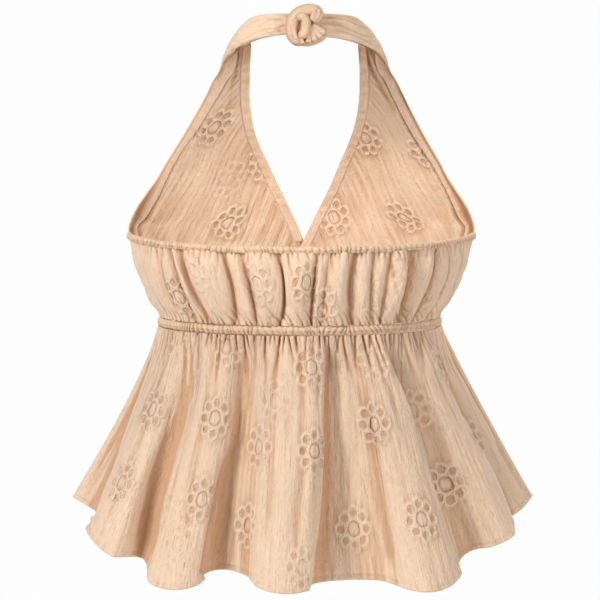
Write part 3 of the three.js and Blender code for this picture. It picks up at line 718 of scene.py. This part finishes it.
def flower_lines(make):
    """Raised rings and sunk outlines of the embossed flowers, from the flower coordinates."""
    place = make.put("ShaderNodeUVMap", {}, uv_map="flower")
    squeeze = FLOWER["ring"] / FLOWER["ring_high"]
    flat = make.vector("MULTIPLY", place, (1000, 1000 * squeeze, 0))
    wobble = make.put("ShaderNodeTexNoise", {"Vector": flat, "Scale": 0.3, "Detail": 2.0}, 1)
    shifted = make.vector("SUBTRACT", wobble, (0.5, 0.5, 0.5))
    flat = make.put("ShaderNodeVectorMath", {0: shifted, 1: (3.0, 3.0, 0), 2: flat}, operation="MULTIPLY_ADD")
    split = make.put("ShaderNodeSeparateXYZ", {0: flat}).node
    x, y = split.outputs[0], split.outputs[1]
    radius = make.vector("LENGTH", flat, (0, 0, 0), 1)
    turn = make.maths("PINGPONG", make.maths("ARCTAN2", x, y), math.pi / FLOWER["petals"])
    side = make.maths("MULTIPLY", radius, make.maths("SINE", turn))
    out = make.maths("SUBTRACT", make.maths("MULTIPLY", radius, make.maths("COSINE", turn)), FLOWER["ring"])
    petal = make.vector("LENGTH", make.put("ShaderNodeCombineXYZ", {0: side, 1: out}), (0, 0, 0), 1)

    def line(distance, at, width):
        off = make.maths("ABSOLUTE", make.maths("SUBTRACT", distance, at))
        return make.fade(off, 0.0, width, 1.0, 0.0)

    ridge = make.maths("MAXIMUM", line(petal, FLOWER["petal"], 1.9), line(radius, FLOWER["middle"], 1.6))
    around = make.maths("MULTIPLY", line(petal, FLOWER["petal"] - 1.6, 1.1), 0.6)
    groove = make.maths("MAXIMUM", around, line(radius, FLOWER["dome"] + 0.1, 0.9))
    inside = make.fade(radius, 3.4, 4.2, 1.0, 0.0)
    seam = make.maths("MULTIPLY", line(make.maths("ABSOLUTE", x), 0.0, 0.6), inside)
    groove = make.maths("MAXIMUM", groove, make.maths("MULTIPLY", seam, 0.5))
    strength = make.attribute("emboss")
    return make.maths("MULTIPLY", ridge, strength), make.maths("MULTIPLY", groove, strength)


CLOTH_SURFACE = {"Roughness": 0.92, "Sheen Weight": 0.25, "Sheen Roughness": 0.5, "Specular IOR Level": 0.15}
# Waves in a metre across and along the grain, and detail, of each kind of line in the gauze
RIBS = (420.0, 95.0, 3.0)
CREPE = (1000.0, 150.0, 2.0)
CRINKLE = (480.0, 380.0, 4.0)
DYE = (16.0, 9.0, 3.0)
PLEAT_SWAY = (26.0, 9.0, 1.0)
PLEAT_BREAKS = (190.0, 22.0, 1.0)
# What the colour is multiplied by on flat cloth, as painted light on crests, and as painted shade in hollows
# and folds, on pressed lines and in the outlines of the flowers
FLAT_TINT = (1.0, 1.0, 1.0)
CREST_PAINTED_LIGHT = (1.02, 1.03, 1.05)
HOLLOW_PAINTED_SHADE = (0.77, 0.64, 0.53)
FOLD_PAINTED_SHADE = (0.60, 0.50, 0.42)
PLEAT_PAINTED_SHADE = (0.92, 0.85, 0.78)
OUTLINE_PAINTED_SHADE = (0.88, 0.79, 0.70)


def cloth_material(name, colour, lines_depth=0.6, flowers=False, pleats=(5.0, 0.0)):
    """Crinkled cotton gauze: crepe lines along the grain, a fine weave and a slightly uneven dye.

    pleats is the spacing of pressed lines along the grain in millimetres and how strongly they show. The
    colour carries painted light on crests and painted shade in hollows, folds, pressed lines and the flowers'
    outlines.
    """
    make = Nodes(name)
    shader = make.shader
    for key, value in CLOTH_SURFACE.items():
        shader.inputs[key].default_value = value
    place = make.put("ShaderNodeUVMap", {}, uv_map="cloth")
    ribs, lines, crinkle, dye = (make.streaks(place, *kind) for kind in (RIBS, CREPE, CRINKLE, DYE))
    normal = make.bump(ribs, lines_depth, 0.0016, None)
    normal = make.bump(lines, lines_depth, 0.0012, normal)
    normal = make.bump(crinkle, 0.6, 0.0018, normal)
    shade = make.multiply((*colour, 1), make.grey(make.fade(ribs, 0.3, 0.6, 0.93, 1.0)))
    shade = make.multiply(shade, make.grey(make.fade(dye, 0.35, 0.65, 0.96, 1.0)))
    # Painted shading from each point's depth: lighter on crests, darker in hollows and darker still in the
    # deepest folds
    painted_shading = make.attribute("painted_shading")
    shade = make.tint(shade, painted_shading, -0.3, 0.9, CREST_PAINTED_LIGHT, HOLLOW_PAINTED_SHADE)
    shade = make.tint(shade, painted_shading, 0.9, 2.2, FLAT_TINT, FOLD_PAINTED_SHADE)
    spacing, strength = pleats
    if strength:
        x = make.put("ShaderNodeSeparateXYZ", {0: place})
        sway = make.maths("MULTIPLY", make.streaks(place, *PLEAT_SWAY), 1.2)
        off = make.maths("PINGPONG", make.maths("MULTIPLY_ADD", x, 1000 / spacing, sway), 0.5)
        line = make.fade(off, 0.0, 0.11, 1.0, 0.0)
        broken = make.fade(make.streaks(place, *PLEAT_BREAKS), 0.34, 0.54, 0.1, strength)
        shown = make.maths("MULTIPLY", broken, make.attribute("pleated"))
        pressed = make.maths("MULTIPLY", line, shown)
        normal = make.bump(make.maths("MULTIPLY", pressed, -1.0), 0.7, 0.0009, normal)
        # Painted shade along the grooves of the pressed lines
        shade = make.tint(shade, pressed, 0.0, 1.0, FLAT_TINT, PLEAT_PAINTED_SHADE)
    if flowers:
        ridge, groove = flower_lines(make)
        normal = make.bump(make.maths("SUBTRACT", ridge, groove), 0.8, 0.0009, normal)
        # Painted shade in the sunk outlines of the flowers
        shade = make.tint(shade, groove, 0.2, 1.0, FLAT_TINT, OUTLINE_PAINTED_SHADE)
    make.tree.links.new(normal, shader.inputs["Normal"])
    make.tree.links.new(shade, shader.inputs["Base Color"])
    return make.material


CLOTH_COLOUR = (0.82, 0.60, 0.43)
PEPLUM_MATERIAL = cloth_material("peplum_cotton", CLOTH_COLOUR, flowers=True, pleats=(3.0, 0.28))
BAND_MATERIAL = cloth_material("band_cotton", CLOTH_COLOUR, flowers=True, pleats=(2.8, 0.22))
STRAP_MATERIAL = cloth_material("strap_cotton", CLOTH_COLOUR, lines_depth=0.35)


# Peplum


def hem_curve(flutes, count):
    """The hem through the ends of the fold lines, as a uniform Catmull-Rom curve."""
    corners = np.stack([flutes["x"], flutes["y"], flutes["z"]], axis=1)
    padded = np.concatenate([[2 * corners[0] - corners[1]], corners, [2 * corners[-1] - corners[-2]]])
    place = np.linspace(0, len(corners) - 1, count)
    i = np.minimum(place.astype(int), len(corners) - 2)
    t = (place - i)[:, None]
    a, b, c, d = padded[i], padded[i + 1], padded[i + 2], padded[i + 3]
    curve = 2 * b + (c - a) * t + (2 * a - 5 * b + 4 * c - d) * t**2 + (3 * b - a - 3 * c + d) * t**3
    angle = hermite(np.arange(len(corners), dtype=float), flutes["angle"], place)
    return np.radians(angle), curve / 2


def peplum(name, flutes, columns, rows, step, seed, pixels=()):
    angle, hem = hem_curve(flutes, columns)
    down = np.linspace(0, 1, rows)[:, None]
    top_z = WAIST_Z - WAIST_CASING / 2 - SEAM
    top = ring_points(PEPLUM_TOP["width"], PEPLUM_TOP["back"], PEPLUM_TOP["front"], angle, 0, top_z)
    flare = down ** FLARE_CURVE
    points = np.empty((rows, columns, 3))
    points[..., 0] = mix(top[None, :, 0], hem[None, :, 0], flare)
    points[..., 1] = mix(top[None, :, 1], hem[None, :, 1], flare)
    points[..., 2] = mix(top_z, hem[None, :, 2], down)
    normal = grid_normals(points)
    across, along = arc_lengths(points)
    waist = across[:1]
    grain = np.broadcast_to(across[-1:], along.shape)
    relief = tucks(waist, along, seed, 5.2, 36, 4.4, waist.max())
    relief += tucks(waist, along, seed + 1, 11, 90, 3.2, waist.max())
    relief += 0.9 * noise(grain, along, 11, 70, seed + 2) * ease(along, 10, 60)
    relief += 0.4 * noise(grain, along, 3.4, 26, seed + 3)
    if pixels:
        relief += creases(points, PEPLUM_CREASES)
    places = photo_places(points, pixels) if pixels else lattice_places(points, 30, 40, 44, 76)
    raised, flowers = flower_field(points, places)
    relief += raised
    edge = np.minimum(np.arange(columns), np.arange(columns)[::-1])[None, :]
    relief *= ease(edge, 0, 6)
    hem_fold = 0.35 * np.exp(-(((along[-1:] - along - 4) / 1.0) ** 2))
    face = points + normal * (relief - hem_fold)[..., None]
    back = points + normal * (relief - CLOTH)[..., None]
    piece = shell(name, face, back, grain, along, PEPLUM_MATERIAL, step, flowers, pleated=1.0)
    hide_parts(name)


peplum("peplum_back", BACK_FLUTES, 601, 142, 3, 11, PEPLUM_FLOWERS)
peplum("peplum_front", FRONT_FLUTES, 421, 118, 3, 31)


# Gathered band


def band_top_z(angle):
    return BAND_TOP["middle"] + BAND_TOP["side_rise"] * np.sin(angle) ** 4


def picture_angle(column, row):
    """The angle round the band at which the photograph shows a pixel, found by walking round it."""
    angles = np.radians(np.linspace(88, -88, 1400))
    z = -200.0
    for _ in range(6):
        width, depth = read(BACK_ROWS, "width", z), read(BACK_ROWS, "depth", z)
        ring = ring_points(width, depth, depth, angles, 0, z)
        columns, rows, distance = to_picture(ring)
        i = np.argmin(np.abs(columns - column))
        z += (rows[i] - row) * pixel_size(distance[i])
    return angles[i]


def back_band():
    samples = 15
    seams = {"left": math.pi / 2, "right": -math.pi / 2}
    lines = {}
    for level, row in BAND_FOLD_ROWS.items():
        inside = [picture_angle(column, row) for column in BAND_FOLDS[level]]
        lines[level] = np.array([seams["left"], *inside, seams["right"]])
    out = np.array([0, *BAND_FOLDS["out"], 0])
    last = len(out) - 1
    place = np.linspace(0, last, last * samples + 1)
    i = np.minimum(place.astype(int), last - 1)
    t = place - i
    rising = np.sin(math.pi / 2 * t)
    falling = 1 - np.cos(math.pi / 2 * t)
    fold = mix(out[i], out[i + 1], np.where(out[i + 1] > out[i], rising, falling))
    level = {name: hermite(np.arange(last + 1.0), values, place) for name, values in lines.items()}
    rows = 91
    down = np.linspace(0, 1, rows)[:, None]
    # A parabola through the fold's angles at the three rows of pixels
    shares = {"top": 0.08, "middle": 0.52, "bottom": 0.92}
    angle = 0
    for name, own in shares.items():
        one, two = (share for share in shares.values() if share != own)
        angle = angle + level[name] * ((down - one) * (down - two) / ((own - one) * (own - two)))
    top_z = band_top_z(angle) - BACK_CASING + TUCKED_IN
    bottom_z = WAIST_Z + WAIST_CASING / 2 + SEAM
    z = mix(top_z, bottom_z, down)
    width, depth = read(BACK_ROWS, "width", z), read(BACK_ROWS, "depth", z)
    fullness = mix(GATHERED_FULLNESS, 1, np.sqrt(np.sin(math.pi * down)))
    base = ring_points(width, depth, depth, angle, 0, z)
    across, along = arc_lengths(base)
    reach = along[-1:] - along
    relief = 1.25 * fold[None, :] * fullness
    relief = relief + tucks(across, along, 51, 5.6, 19, 3.0, across.max())
    relief = relief + tucks(across, reach, 52, 6.0, 24, 3.4, across.max())
    relief = relief + wrinkles(across, along, BAND_WRINKLES)
    points = ring_points(width, depth, depth, angle, relief, z)
    raised, flowers = flower_field(points, photo_places(points, BAND_FLOWERS))
    relief = relief + raised * np.clip(along / 10, 0, 1) * np.clip(reach / 10, 0, 1)
    face = ring_points(width, depth, depth, angle, relief, z)
    back = ring_points(width, depth, depth, angle, relief - BAND_CLOTH, z)
    for grid in (face, back):
        grid[:, [0, -1], 1] = SEAM / 2
    grain = arc_lengths(points)[0][rows // 2][None, :]
    piece = shell("back_panel", face, back, grain, along, BAND_MATERIAL, 3, flowers, pleated=1.0)
    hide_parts("back_panel")
    full, _ = arc_lengths(face)


back_band()


# Elastic casings


def casing(name, start, end, height, outer, inner, ring, top_z, seed, spacing):
    """A flat puckered tube round half of the body."""
    sides = 18
    stations = 900
    angle = np.radians(np.linspace(start, end, stations))[:, None]
    middle_z = top_z(angle) - height / 2
    turn = turns(sides)[None, :]
    flat = np.sign(np.cos(turn)) * np.abs(np.cos(turn)) ** 0.8
    tall = np.sign(np.sin(turn)) * np.abs(np.sin(turn)) ** 0.7
    size = ring(middle_z)
    line = ring_points(size["width"], size["back"], size["front"], angle, 0, middle_z)[:, 0]
    along = path_lengths(line)[:, None]

    def wave(wide, order):
        return noise(along, np.zeros_like(along), wide, 1, seed + order)

    random = np.random.default_rng(seed)
    knots = np.cumsum(spacing * random.uniform(0.45, 1.6, 600))
    slant = 0.35 * height * tall * wave(11, 3)
    phase = np.interp(along + slant, knots, np.arange(600.0))
    pucker = np.abs(np.sin(math.pi * phase))
    swell = 1.9 * (0.8 + 0.5 * wave(8, 1))
    radial = mix(inner, outer, (flat + 1) / 2) + (pucker - 0.7) * swell * (flat > -0.5)
    up = height / 2 * tall * (0.9 + 0.22 * (pucker - 0.8)) + 0.4 * wave(10, 2)
    z = middle_z + up
    sections = ring_points(size["width"], size["back"], size["front"], angle, radial, z)
    behind = 1 if abs(start + end) < 180 else -1
    sections[[0, -1], :, 1] = behind * SEAM / 2
    across = np.broadcast_to(turn * height / 3, (stations, sides))
    piece = tube(name, sections, across, np.broadcast_to(along, (stations, sides)), STRAP_MATERIAL)
    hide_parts(name)


def back_ring(z):
    depth = read(BACK_ROWS, "depth", z)
    return {"width": read(BACK_ROWS, "width", z), "back": depth, "front": depth}


def waist_top(angle):
    return np.full(np.shape(angle), WAIST_Z + WAIST_CASING / 2.0)


casing("back_casing", 90, -90, BACK_CASING, 2.3, -2.4, back_ring, band_top_z, 61, 4.3)
casing("waist_casing_back", 90, -90, WAIST_CASING, 2.3, -2.8, lambda z: WAIST_RING, waist_top, 62, 4.4)
casing("waist_casing_front", -90, -270, WAIST_CASING, 1.9, -4.4, lambda z: WAIST_RING, waist_top, 63, 4.6)


# Front panels with their neck straps


def layer_shift(side, own, z):
    """How far the inner of the two crossed fronts lies behind the outer one."""
    if side > 0:
        return np.zeros_like(own)
    depth = mix(CROSSING["vee"], CROSSING["waist"], ease(z, -206, -228))
    return depth * ease(z, -160, -196) * (1 - ease(own, CROSSING["near"], CROSSING["far"]))


def panel_points(side, z, angle):
    width, depth, middle = (read(FRONT_ROWS, name, z) for name in ("width", "depth", "middle"))
    own = width * np.sin(angle)
    cup = np.exp(-(((own - BUST["x"]) / BUST["wide"]) ** 2) / 2 - ((z - BUST["z"]) / BUST["high"]) ** 2 / 2)
    reach = (depth + BUST["out"] * cup) * np.cos(angle) - layer_shift(side, own, z)
    return np.stack([side * own, middle - reach, np.full(np.shape(own), float(z))], axis=-1)


def arm_strip_width(side, surface):
    """Width of the strip along the armhole at each row of a front, from where it ends in the photograph."""
    points = surface["points"]
    column, row, _ = to_picture(points)
    line = ARM_STRIP[side]
    off = side * (column - hermite(line["row"], line["x"], np.clip(row, line["row"][0], line["row"][-1])))
    across, _ = arc_lengths(points)
    place = np.argmin(np.where(off > 0, off, np.inf), axis=1)
    width = across[:, -1] - across[np.arange(len(place)), place]
    panel = surface["strap"] < 0.5
    width = np.where(panel, np.clip(width, 5, 24), width[panel][0])
    spread = 7
    padded = np.pad(width, spread, mode="edge")
    return np.convolve(padded, np.ones(2 * spread + 1) / (2 * spread + 1), mode="valid")


def front_surface(side, rows, columns):
    """Points, outward directions, thicknesses and lengths of a front panel and its strap."""
    share = np.linspace(0, 1, columns)
    points, outward, thick, heights = [], [], [], []
    strap = STRAP_ROWS
    count = len(strap["thick"])
    edges = {which: np.stack([side * strap[f"{which}_x"], strap[f"{which}_y"], strap[f"{which}_z"]], axis=1)
             for which in ("upper", "lower")}
    both = edges["upper"] + edges["lower"]
    for k in range(count):
        drop = RIGHT_STRAP_DROP * (1 - k / count) if side < 0 else 0
        upper, lower = edges["upper"][k], edges["lower"][k] - np.array([0, 0, drop])
        path = both[min(k + 1, count - 1)] - both[max(k - 1, 0)]
        direction = unit(np.cross(path, lower - upper)) * side
        full = np.sqrt(np.clip(1 - (2 * share - 1) ** 2, 0, 1))[:, None]
        points.append(upper + (lower - upper) * share[:, None] + direction * strap["bulge"][k] * full)
        outward.append(np.broadcast_to(direction, (columns, 3)))
        thick.append(CLOTH + (strap["thick"][k] - CLOTH) * mix(STRAP_EDGE_FULLNESS, 1, full[:, 0]))
        heights.append(0)
    for z in PANEL_HEIGHTS:
        width = read(FRONT_ROWS, "width", z)
        neck = read(FRONT_ROWS, "neck", z) - side * VEE_SHIFT * ease(z, -100, -170)
        start = math.asin(neck / width)
        end = math.radians(min(read(FRONT_ROWS, "arm", z), 90))
        angle = mix(start, end, share)
        row = panel_points(side, z, angle)
        along = panel_points(side, z, angle + 0.01) - panel_points(side, z, angle - 0.01)
        down = panel_points(side, z - 1, angle) - panel_points(side, z + 1, angle)
        direction = unit(np.cross(down, along)) * side
        if end > math.radians(89.9):
            row[-1, 1] = -SEAM / 2
            direction[-1] = (side, 0, 0)
        points.append(row)
        outward.append(direction)
        thick.append(np.full(columns, CLOTH))
        heights.append(z)
    points, outward, thick = np.array(points), np.array(outward), np.array(thick)
    steps = path_lengths(points[:, columns // 2])
    fine = np.linspace(0, steps[-1], rows)
    return {
        "points": hermite(steps, points, fine),
        "outward": unit(hermite(steps, outward, fine)),
        "thick": hermite(steps, thick, fine),
        "strap": 1 - ease(fine, steps[count - 3], steps[count]),
        "path": fine,
    }


def front(name, side, pixels, grain, panel_creases, strap_creases):
    rows, columns = 301, 151
    surface = front_surface(side, rows, columns)
    points, outward, thick = surface["points"], surface["outward"], surface["thick"]
    across, along = arc_lengths(points)
    strap = surface["strap"][:, None]
    width = across[:, -1:]
    arm = arm_strip_width(side, surface)[:, None]
    edge = width - across - arm
    z = points[..., 2]
    free = ease(along[-1:] - along, 0, 15)
    clear = ease(across, NECK_FACING - 1, NECK_FACING + 4) * ease(edge, 2, 6) * (1 - strap) * free
    inner = points - outward * thick[..., None]
    below = along - along[np.argmax(surface["strap"] < 0.5)]
    slant = grain * (1 - strap)
    turned = np.cos(slant) * across - np.sin(slant) * below
    run = np.sin(slant) * across + np.cos(slant) * below
    raised, flowers = flower_field(inner, photo_places(inner, pixels), grain)
    relief = (wrinkles(turned, run, CUP_WRINKLES, side) + EMBOSS_GAIN * raised) * clear
    low = ease(-z, STRIP_GROOVE["from"], STRIP_GROOVE["to"])
    spread = mix(STRIP_GROOVE["narrow"], STRIP_GROOVE["broad"], low)
    groove = np.exp(-(((edge - 0.6 * spread) / spread) ** 2)) * free
    pressed = STRIP_GROOVE["deep"] * groove - creases(inner, panel_creases) * free
    deepest = 0.6 * thick + 5 * (1 - strap)
    relief = relief - np.minimum(pressed, deepest)
    rise = CUP_BULGE["full"] * ease(edge, -1, CUP_SWELL["strip"]) + CUP_BULGE["edge"] * ease(edge, 0.5, 4)
    swell = ease(-z, CUP_SWELL["starts"], CUP_SWELL["full"])
    swell = swell * (1 - ease(-z, CUP_SWELL["falls"], CUP_SWELL["ends"]))
    bulge = rise * ease(across, 2, CUP_SWELL["neck"]) * swell
    folds = creases(points, strap_creases)
    ripple = wrinkles(across, along, STRAP_WRINKLES, side)
    inside = inner - outward * (relief + bulge)[..., None]
    lifted = (folds + ripple) * strap + (0.3 * bulge - 0.85 * relief) * (1 - strap)
    lifted = np.maximum(lifted, LEAST_WALL - thick - relief - bulge)
    outside = points + outward * lifted[..., None]
    material = cloth_material(f"{name}_cotton", CLOTH_COLOUR, flowers=True, pleats=(5.0, PLEATS_SHOW[side]))
    # Painted shade on the inside: in the groove along the armhole strip and in the creases, and over the
    # strap
    shade = 1.3 * np.clip(pressed / 4, 0, 1) + 0.5 * strap
    # Painted shade on the outside of the strap, along narrow lines over its folds
    narrow = np.full(len(strap_creases["deep"]), FOLD_LINE_REACH)
    thin = {**strap_creases, "before": narrow, "after": narrow}
    fold_shade = strap * np.clip(-creases(points, thin) / STRAP_HOLLOW, 0, 1.2)
    piece = shell(name, inside, outside, turned, run, material, 2, flowers, shade, fold_shade, 1 - strap)
    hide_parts(name)


GRAIN = math.radians(44)
front("front_left", 1, LEFT_CUP_FLOWERS, GRAIN, LEFT_FRONT_CREASES, LEFT_STRAP_CREASES)
front("front_right", -1, RIGHT_CUP_FLOWERS, GRAIN, RIGHT_FRONT_CREASES, RIGHT_STRAP_CREASES)


# Facings stitched inside the edges of the front panels


def facing(name, side, edge, until):
    """A strip over the inside of a front panel, along its neck edge or its armhole edge."""
    rows, columns, ring = 260, 112, 13
    surface = front_surface(side, rows, columns)
    across, along = arc_lengths(surface["points"])
    width = across[:, -1]
    middle_z = surface["points"][:, columns // 2, 2]
    keep = np.flatnonzero((surface["strap"] < 0.99) & (middle_z > until))
    strip = arm_strip_width(side, surface)
    inner = surface["points"] - surface["outward"] * (surface["thick"] + SEAM)[..., None]
    distance = np.linspace(0, 1, ring)
    face, back, sideways, lengthways, sizes = [], [], [], [], []
    for r in keep:
        size = NECK_FACING if edge == "neck" else float(strip[r])
        at = distance * size if edge == "neck" else width[r] - size + distance * size
        place = np.interp(at, across[r], np.arange(columns))
        low = np.minimum(place.astype(int), columns - 2)
        t = (place - low)[:, None]
        point = mix(inner[r, low], inner[r, low + 1], t)
        direction = mix(surface["outward"][r, low], surface["outward"][r, low + 1], t)
        pucker = 0.35 * noise(at, np.full(ring, surface["path"][r]), 6, 4.2, 91 + side)
        round_off = np.sqrt(np.clip(1 - (2 * distance - 1) ** 4, 0, 1))
        lift = (SEAM + (FACING_FULLNESS[edge] + pucker) * round_off)[:, None]
        back.append(point)
        face.append(point - direction * lift)
        sideways.append(at)
        lengthways.append(np.full(ring, surface["path"][r]))
        sizes.append(max(size + FACING_TURNED_IN, LEAST_FLAT_WIDTH))
    face, back, sideways, lengthways = (np.array(rows) for rows in (face, back, sideways, lengthways))
    # Painted shade near the strap, and on an armhole facing towards the armhole edge, spreading wider and
    # darker lower down
    shade = 0.7 * surface["strap"][keep][:, None]
    if edge == "arm":
        low = ease(-middle_z[keep], 120, 178)[:, None]
        shade = shade + mix(1.0, 2.8, low) * ease(distance, mix(0.7, 0.35, low), 1.0)
    piece = shell(name, face, back, sideways, lengthways, STRAP_MATERIAL, face_painted_shade=shade)
    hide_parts(name)


facing("neck_facing_left", 1, "neck", -204)
facing("neck_facing_right", -1, "neck", -262)
facing("armhole_facing_left", 1, "arm", -195)
facing("armhole_facing_right", -1, "arm", -195)


# Knot

# Ropes of the knot as the photograph shows them: half the width in pixels, the depth behind the neck and
# half the thickness in millimetres, and the pixels along the middle
KNOT_ROPES = (
    (6.8, 65, 9.0, ((314, 19), (316.5, 13.5), (312, 11), (305, 11.5), (297.5, 15), (293, 21.5), (291.8, 29),
                    (294, 36), (299.5, 40), (305, 40.5))),
    (3.6, 70.5, 5.5, ((311.5, 21.5), (313.5, 16), (314, 12), (312.5, 8.8))),
    (3.2, 70, 5.5, ((312, 22), (316.6, 17.5), (318.6, 13), (317.8, 9))),
    (2.9, 69, 5.5, ((313, 22.5), (318.2, 19.2), (321, 15.5), (321.2, 11.6))),
    (4.9, 72, 6.5, ((297.5, 19.5), (301.5, 17), (305.6, 20.5), (305.8, 27), (304.2, 32.5), (301.5, 36),
                    (300.2, 38))),
    (3.1, 69.5, 6.0, ((294, 20), (293.4, 28), (295, 36), (297.5, 41))),
    (2.8, 68.0, 6.0, ((290, 20), (288.8, 28), (290.5, 35), (294.5, 40.5))),
    (3.6, 67, 7.0, ((310.5, 24.2), (318, 28.8), (326, 34))),
    (4.0, 67.6, 7.0, ((310, 25), (316, 32), (321.6, 39))),
    (4.2, 68, 7.0, ((309.5, 27), (312.8, 34), (315, 42.2))),
    (3.9, 67.6, 7.0, ((308, 29), (308.8, 36), (308.2, 43.4))),
    (2.7, 68.5, 5.5, ((299.5, 37), (301.5, 41), (302.8, 44.2))),
    (2.5, 64, 5.0, ((326, 34), (321.5, 38.8), (314.5, 42.2), (307, 43.8), (300, 42.4), (293.5, 39.5))),
)
KNOT_CORE = {"pixel": (304.5, 25.5), "depth": 61, "wide": 15, "deep": 9.5, "high": 16.5}


def rope(half, depth, thick, pixels, seed):
    """Rings of one rope of the knot, with pleats along it."""
    corners = np.array([from_picture(column, row, depth) for column, row in pixels])
    place = path_lengths(corners)
    steps = 12 * len(corners)
    at = np.linspace(0, place[-1], steps)
    line = hermite(place, corners, at)
    tangent = unit(np.gradient(line, axis=0))
    back = np.array([0.0, 1.0, 0.0])
    across = unit(np.cross(tangent, back))
    sides = 28
    turn = turns(sides)[None, :]
    share = np.clip(at / place[-1], 0.004, 0.996)[:, None]
    taper = mix(0.2, 1, np.clip(4 * share * (1 - share) * 2.2, 0, 1) ** 0.5)
    pleat = 1 + 0.06 * np.cos(6 * turn + 0.5 * np.sin(at / 6 + seed)[:, None])
    pleat = pleat + 0.035 * np.cos(11 * turn + at[:, None] / 9 + seed)
    size = half * FRAME_WIDTH / FRAME_PIXELS * 0.96
    rings = line[:, None, :] + across[:, None, :] * (size * taper * pleat * np.cos(turn))[..., None]
    return rings + back * (thick * taper * pleat * np.sin(turn))[..., None], at


def knot_core():
    """Rings of the rounded heart of the knot, which closes the gaps between its ropes."""
    middle = from_picture(*KNOT_CORE["pixel"], KNOT_CORE["depth"])
    slope = np.linspace(-0.49, 0.49, 26)[:, None] * math.pi
    turn = turns(28)[None, :]
    x = KNOT_CORE["wide"] * np.cos(slope) * np.cos(turn)
    y = KNOT_CORE["deep"] * np.cos(slope) * np.sin(turn)
    z = KNOT_CORE["high"] * np.sin(slope)
    return middle + np.stack(np.broadcast_arrays(x, y, z), axis=-1), KNOT_CORE["high"] * slope[:, 0]


def knot():
    points, faces, cloth, painted_shading = [], [], [], []
    first = 0
    lumps = [rope(*row, seed) for seed, row in enumerate(KNOT_ROPES)]
    for rings, at in [knot_core(), *lumps]:
        faces += ring_faces(rings, first)
        points.append(rings.reshape(-1, 3))
        count, sides = rings.shape[:2]
        pairs = np.stack(np.broadcast_arrays(1.2 * np.arange(sides), at[:, None]), axis=-1)
        cloth.append(pairs.reshape(-1, 2))
        # Painted shade on the sides of each rope
        shaded = ROPE_SIDE_SHADE * (1 - np.clip(np.sin(turns(sides)), 0, 1)) ** 2
        painted_shading.append((ring_hollows(rings) + shaded).ravel())
        first += count * sides
    points, cloth, painted_shading = (np.concatenate(values) for values in (points, cloth, painted_shading))
    piece = make_mesh("knot", points, faces, cloth, STRAP_MATERIAL, {"painted_shading": painted_shading})
    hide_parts("knot")


knot()


# Stage, light and camera


# Lights in metres and watts: place, size or aim, and power
TOP_MIDDLE = (0, -0.05, -0.27)
WARM_WHITE = (1.0, 0.985, 0.96)
SOFT_LIGHTS = (
    ("key_light", (2.5, 1.8, 1.4), 0.9, 102),
    ("front_light", (-0.9, -2.0, 0.9), 1.2, 42),
    ("fill_light", (-1.5, 1.5, 0.4), 1.0, 21),
)
CUP_LIGHTS = (
    ("left_cup_light", (-0.6, 1.45, 0.15), (0.095, -0.12, -0.13), 46),
    ("right_cup_light", (0.9, 1.25, 0.08), (-0.095, -0.12, -0.13), 12),
)


def add_light(kind, name, place, aim, power, **settings):
    light = bpy.data.lights.new(name, kind)
    light.energy = power
    for key, value in settings.items():
        setattr(light, key, value)
    holder = bpy.data.objects.new(name, light)
    scene.collection.objects.link(holder)
    holder.location = place
    holder.rotation_euler = (Vector(aim) - Vector(place)).to_track_quat("-Z", "Y").to_euler()


def studio():
    bpy.ops.mesh.primitive_plane_add(size=2.6, location=(0, 0, -0.9))
    floor = bpy.context.object
    floor.name = "studio_floor"
    paint = bpy.data.materials.new("studio_white")
    paint.use_nodes = True
    shader = paint.node_tree.nodes["Principled BSDF"]
    shader.inputs["Base Color"].default_value = (0.85, 0.85, 0.85, 1)
    shader.inputs["Roughness"].default_value = 0.9
    floor.data.materials.append(paint)

    world = bpy.data.worlds.new("studio")
    scene.world = world
    world.use_nodes = True
    nodes, links = world.node_tree.nodes, world.node_tree.links
    sky = nodes["Background"]
    sky.inputs["Color"].default_value = (1.0, 0.985, 0.965, 1)
    sky.inputs["Strength"].default_value = 0.27
    white = nodes.new("ShaderNodeBackground")
    white.inputs["Color"].default_value = (1, 1, 1, 1)
    white.inputs["Strength"].default_value = 0.985
    ray = nodes.new("ShaderNodeLightPath")
    join = nodes.new("ShaderNodeMixShader")
    links.new(ray.outputs["Is Camera Ray"], join.inputs["Fac"])
    links.new(sky.outputs["Background"], join.inputs[1])
    links.new(white.outputs["Background"], join.inputs[2])
    links.new(join.outputs["Shader"], nodes["World Output"].inputs["Surface"])

    for name, place, size, power in SOFT_LIGHTS:
        add_light("AREA", name, place, TOP_MIDDLE, power, size=size, color=WARM_WHITE)
    for name, place, aim, power in CUP_LIGHTS:
        cone = math.radians(8.5)
        add_light("SPOT", name, place, aim, power, spot_size=cone, spot_blend=0.8, shadow_soft_size=0.05)


def photo_camera():
    data = bpy.data.cameras.new("photo_camera")
    data.sensor_width = 36
    data.lens = data.sensor_width * CAMERA_DISTANCE / FRAME_WIDTH
    camera = bpy.data.objects.new("photo_camera", data)
    scene.collection.objects.link(camera)
    shift = (AXIS_PIXEL - FRAME_PIXELS / 2) * pixel_size(CAMERA_DISTANCE)
    target = np.array([shift, -NAPE_DEPTH, LOOK_AT_Z]) / 1000
    away = np.array([0, math.cos(CAMERA_TILT), math.sin(CAMERA_TILT)])
    camera.location = target + away * CAMERA_DISTANCE / 1000
    camera.rotation_euler = (math.pi / 2 - CAMERA_TILT, 0, math.pi)
    scene.camera = camera


studio()
photo_camera()
scene.view_settings.view_transform = "Standard"
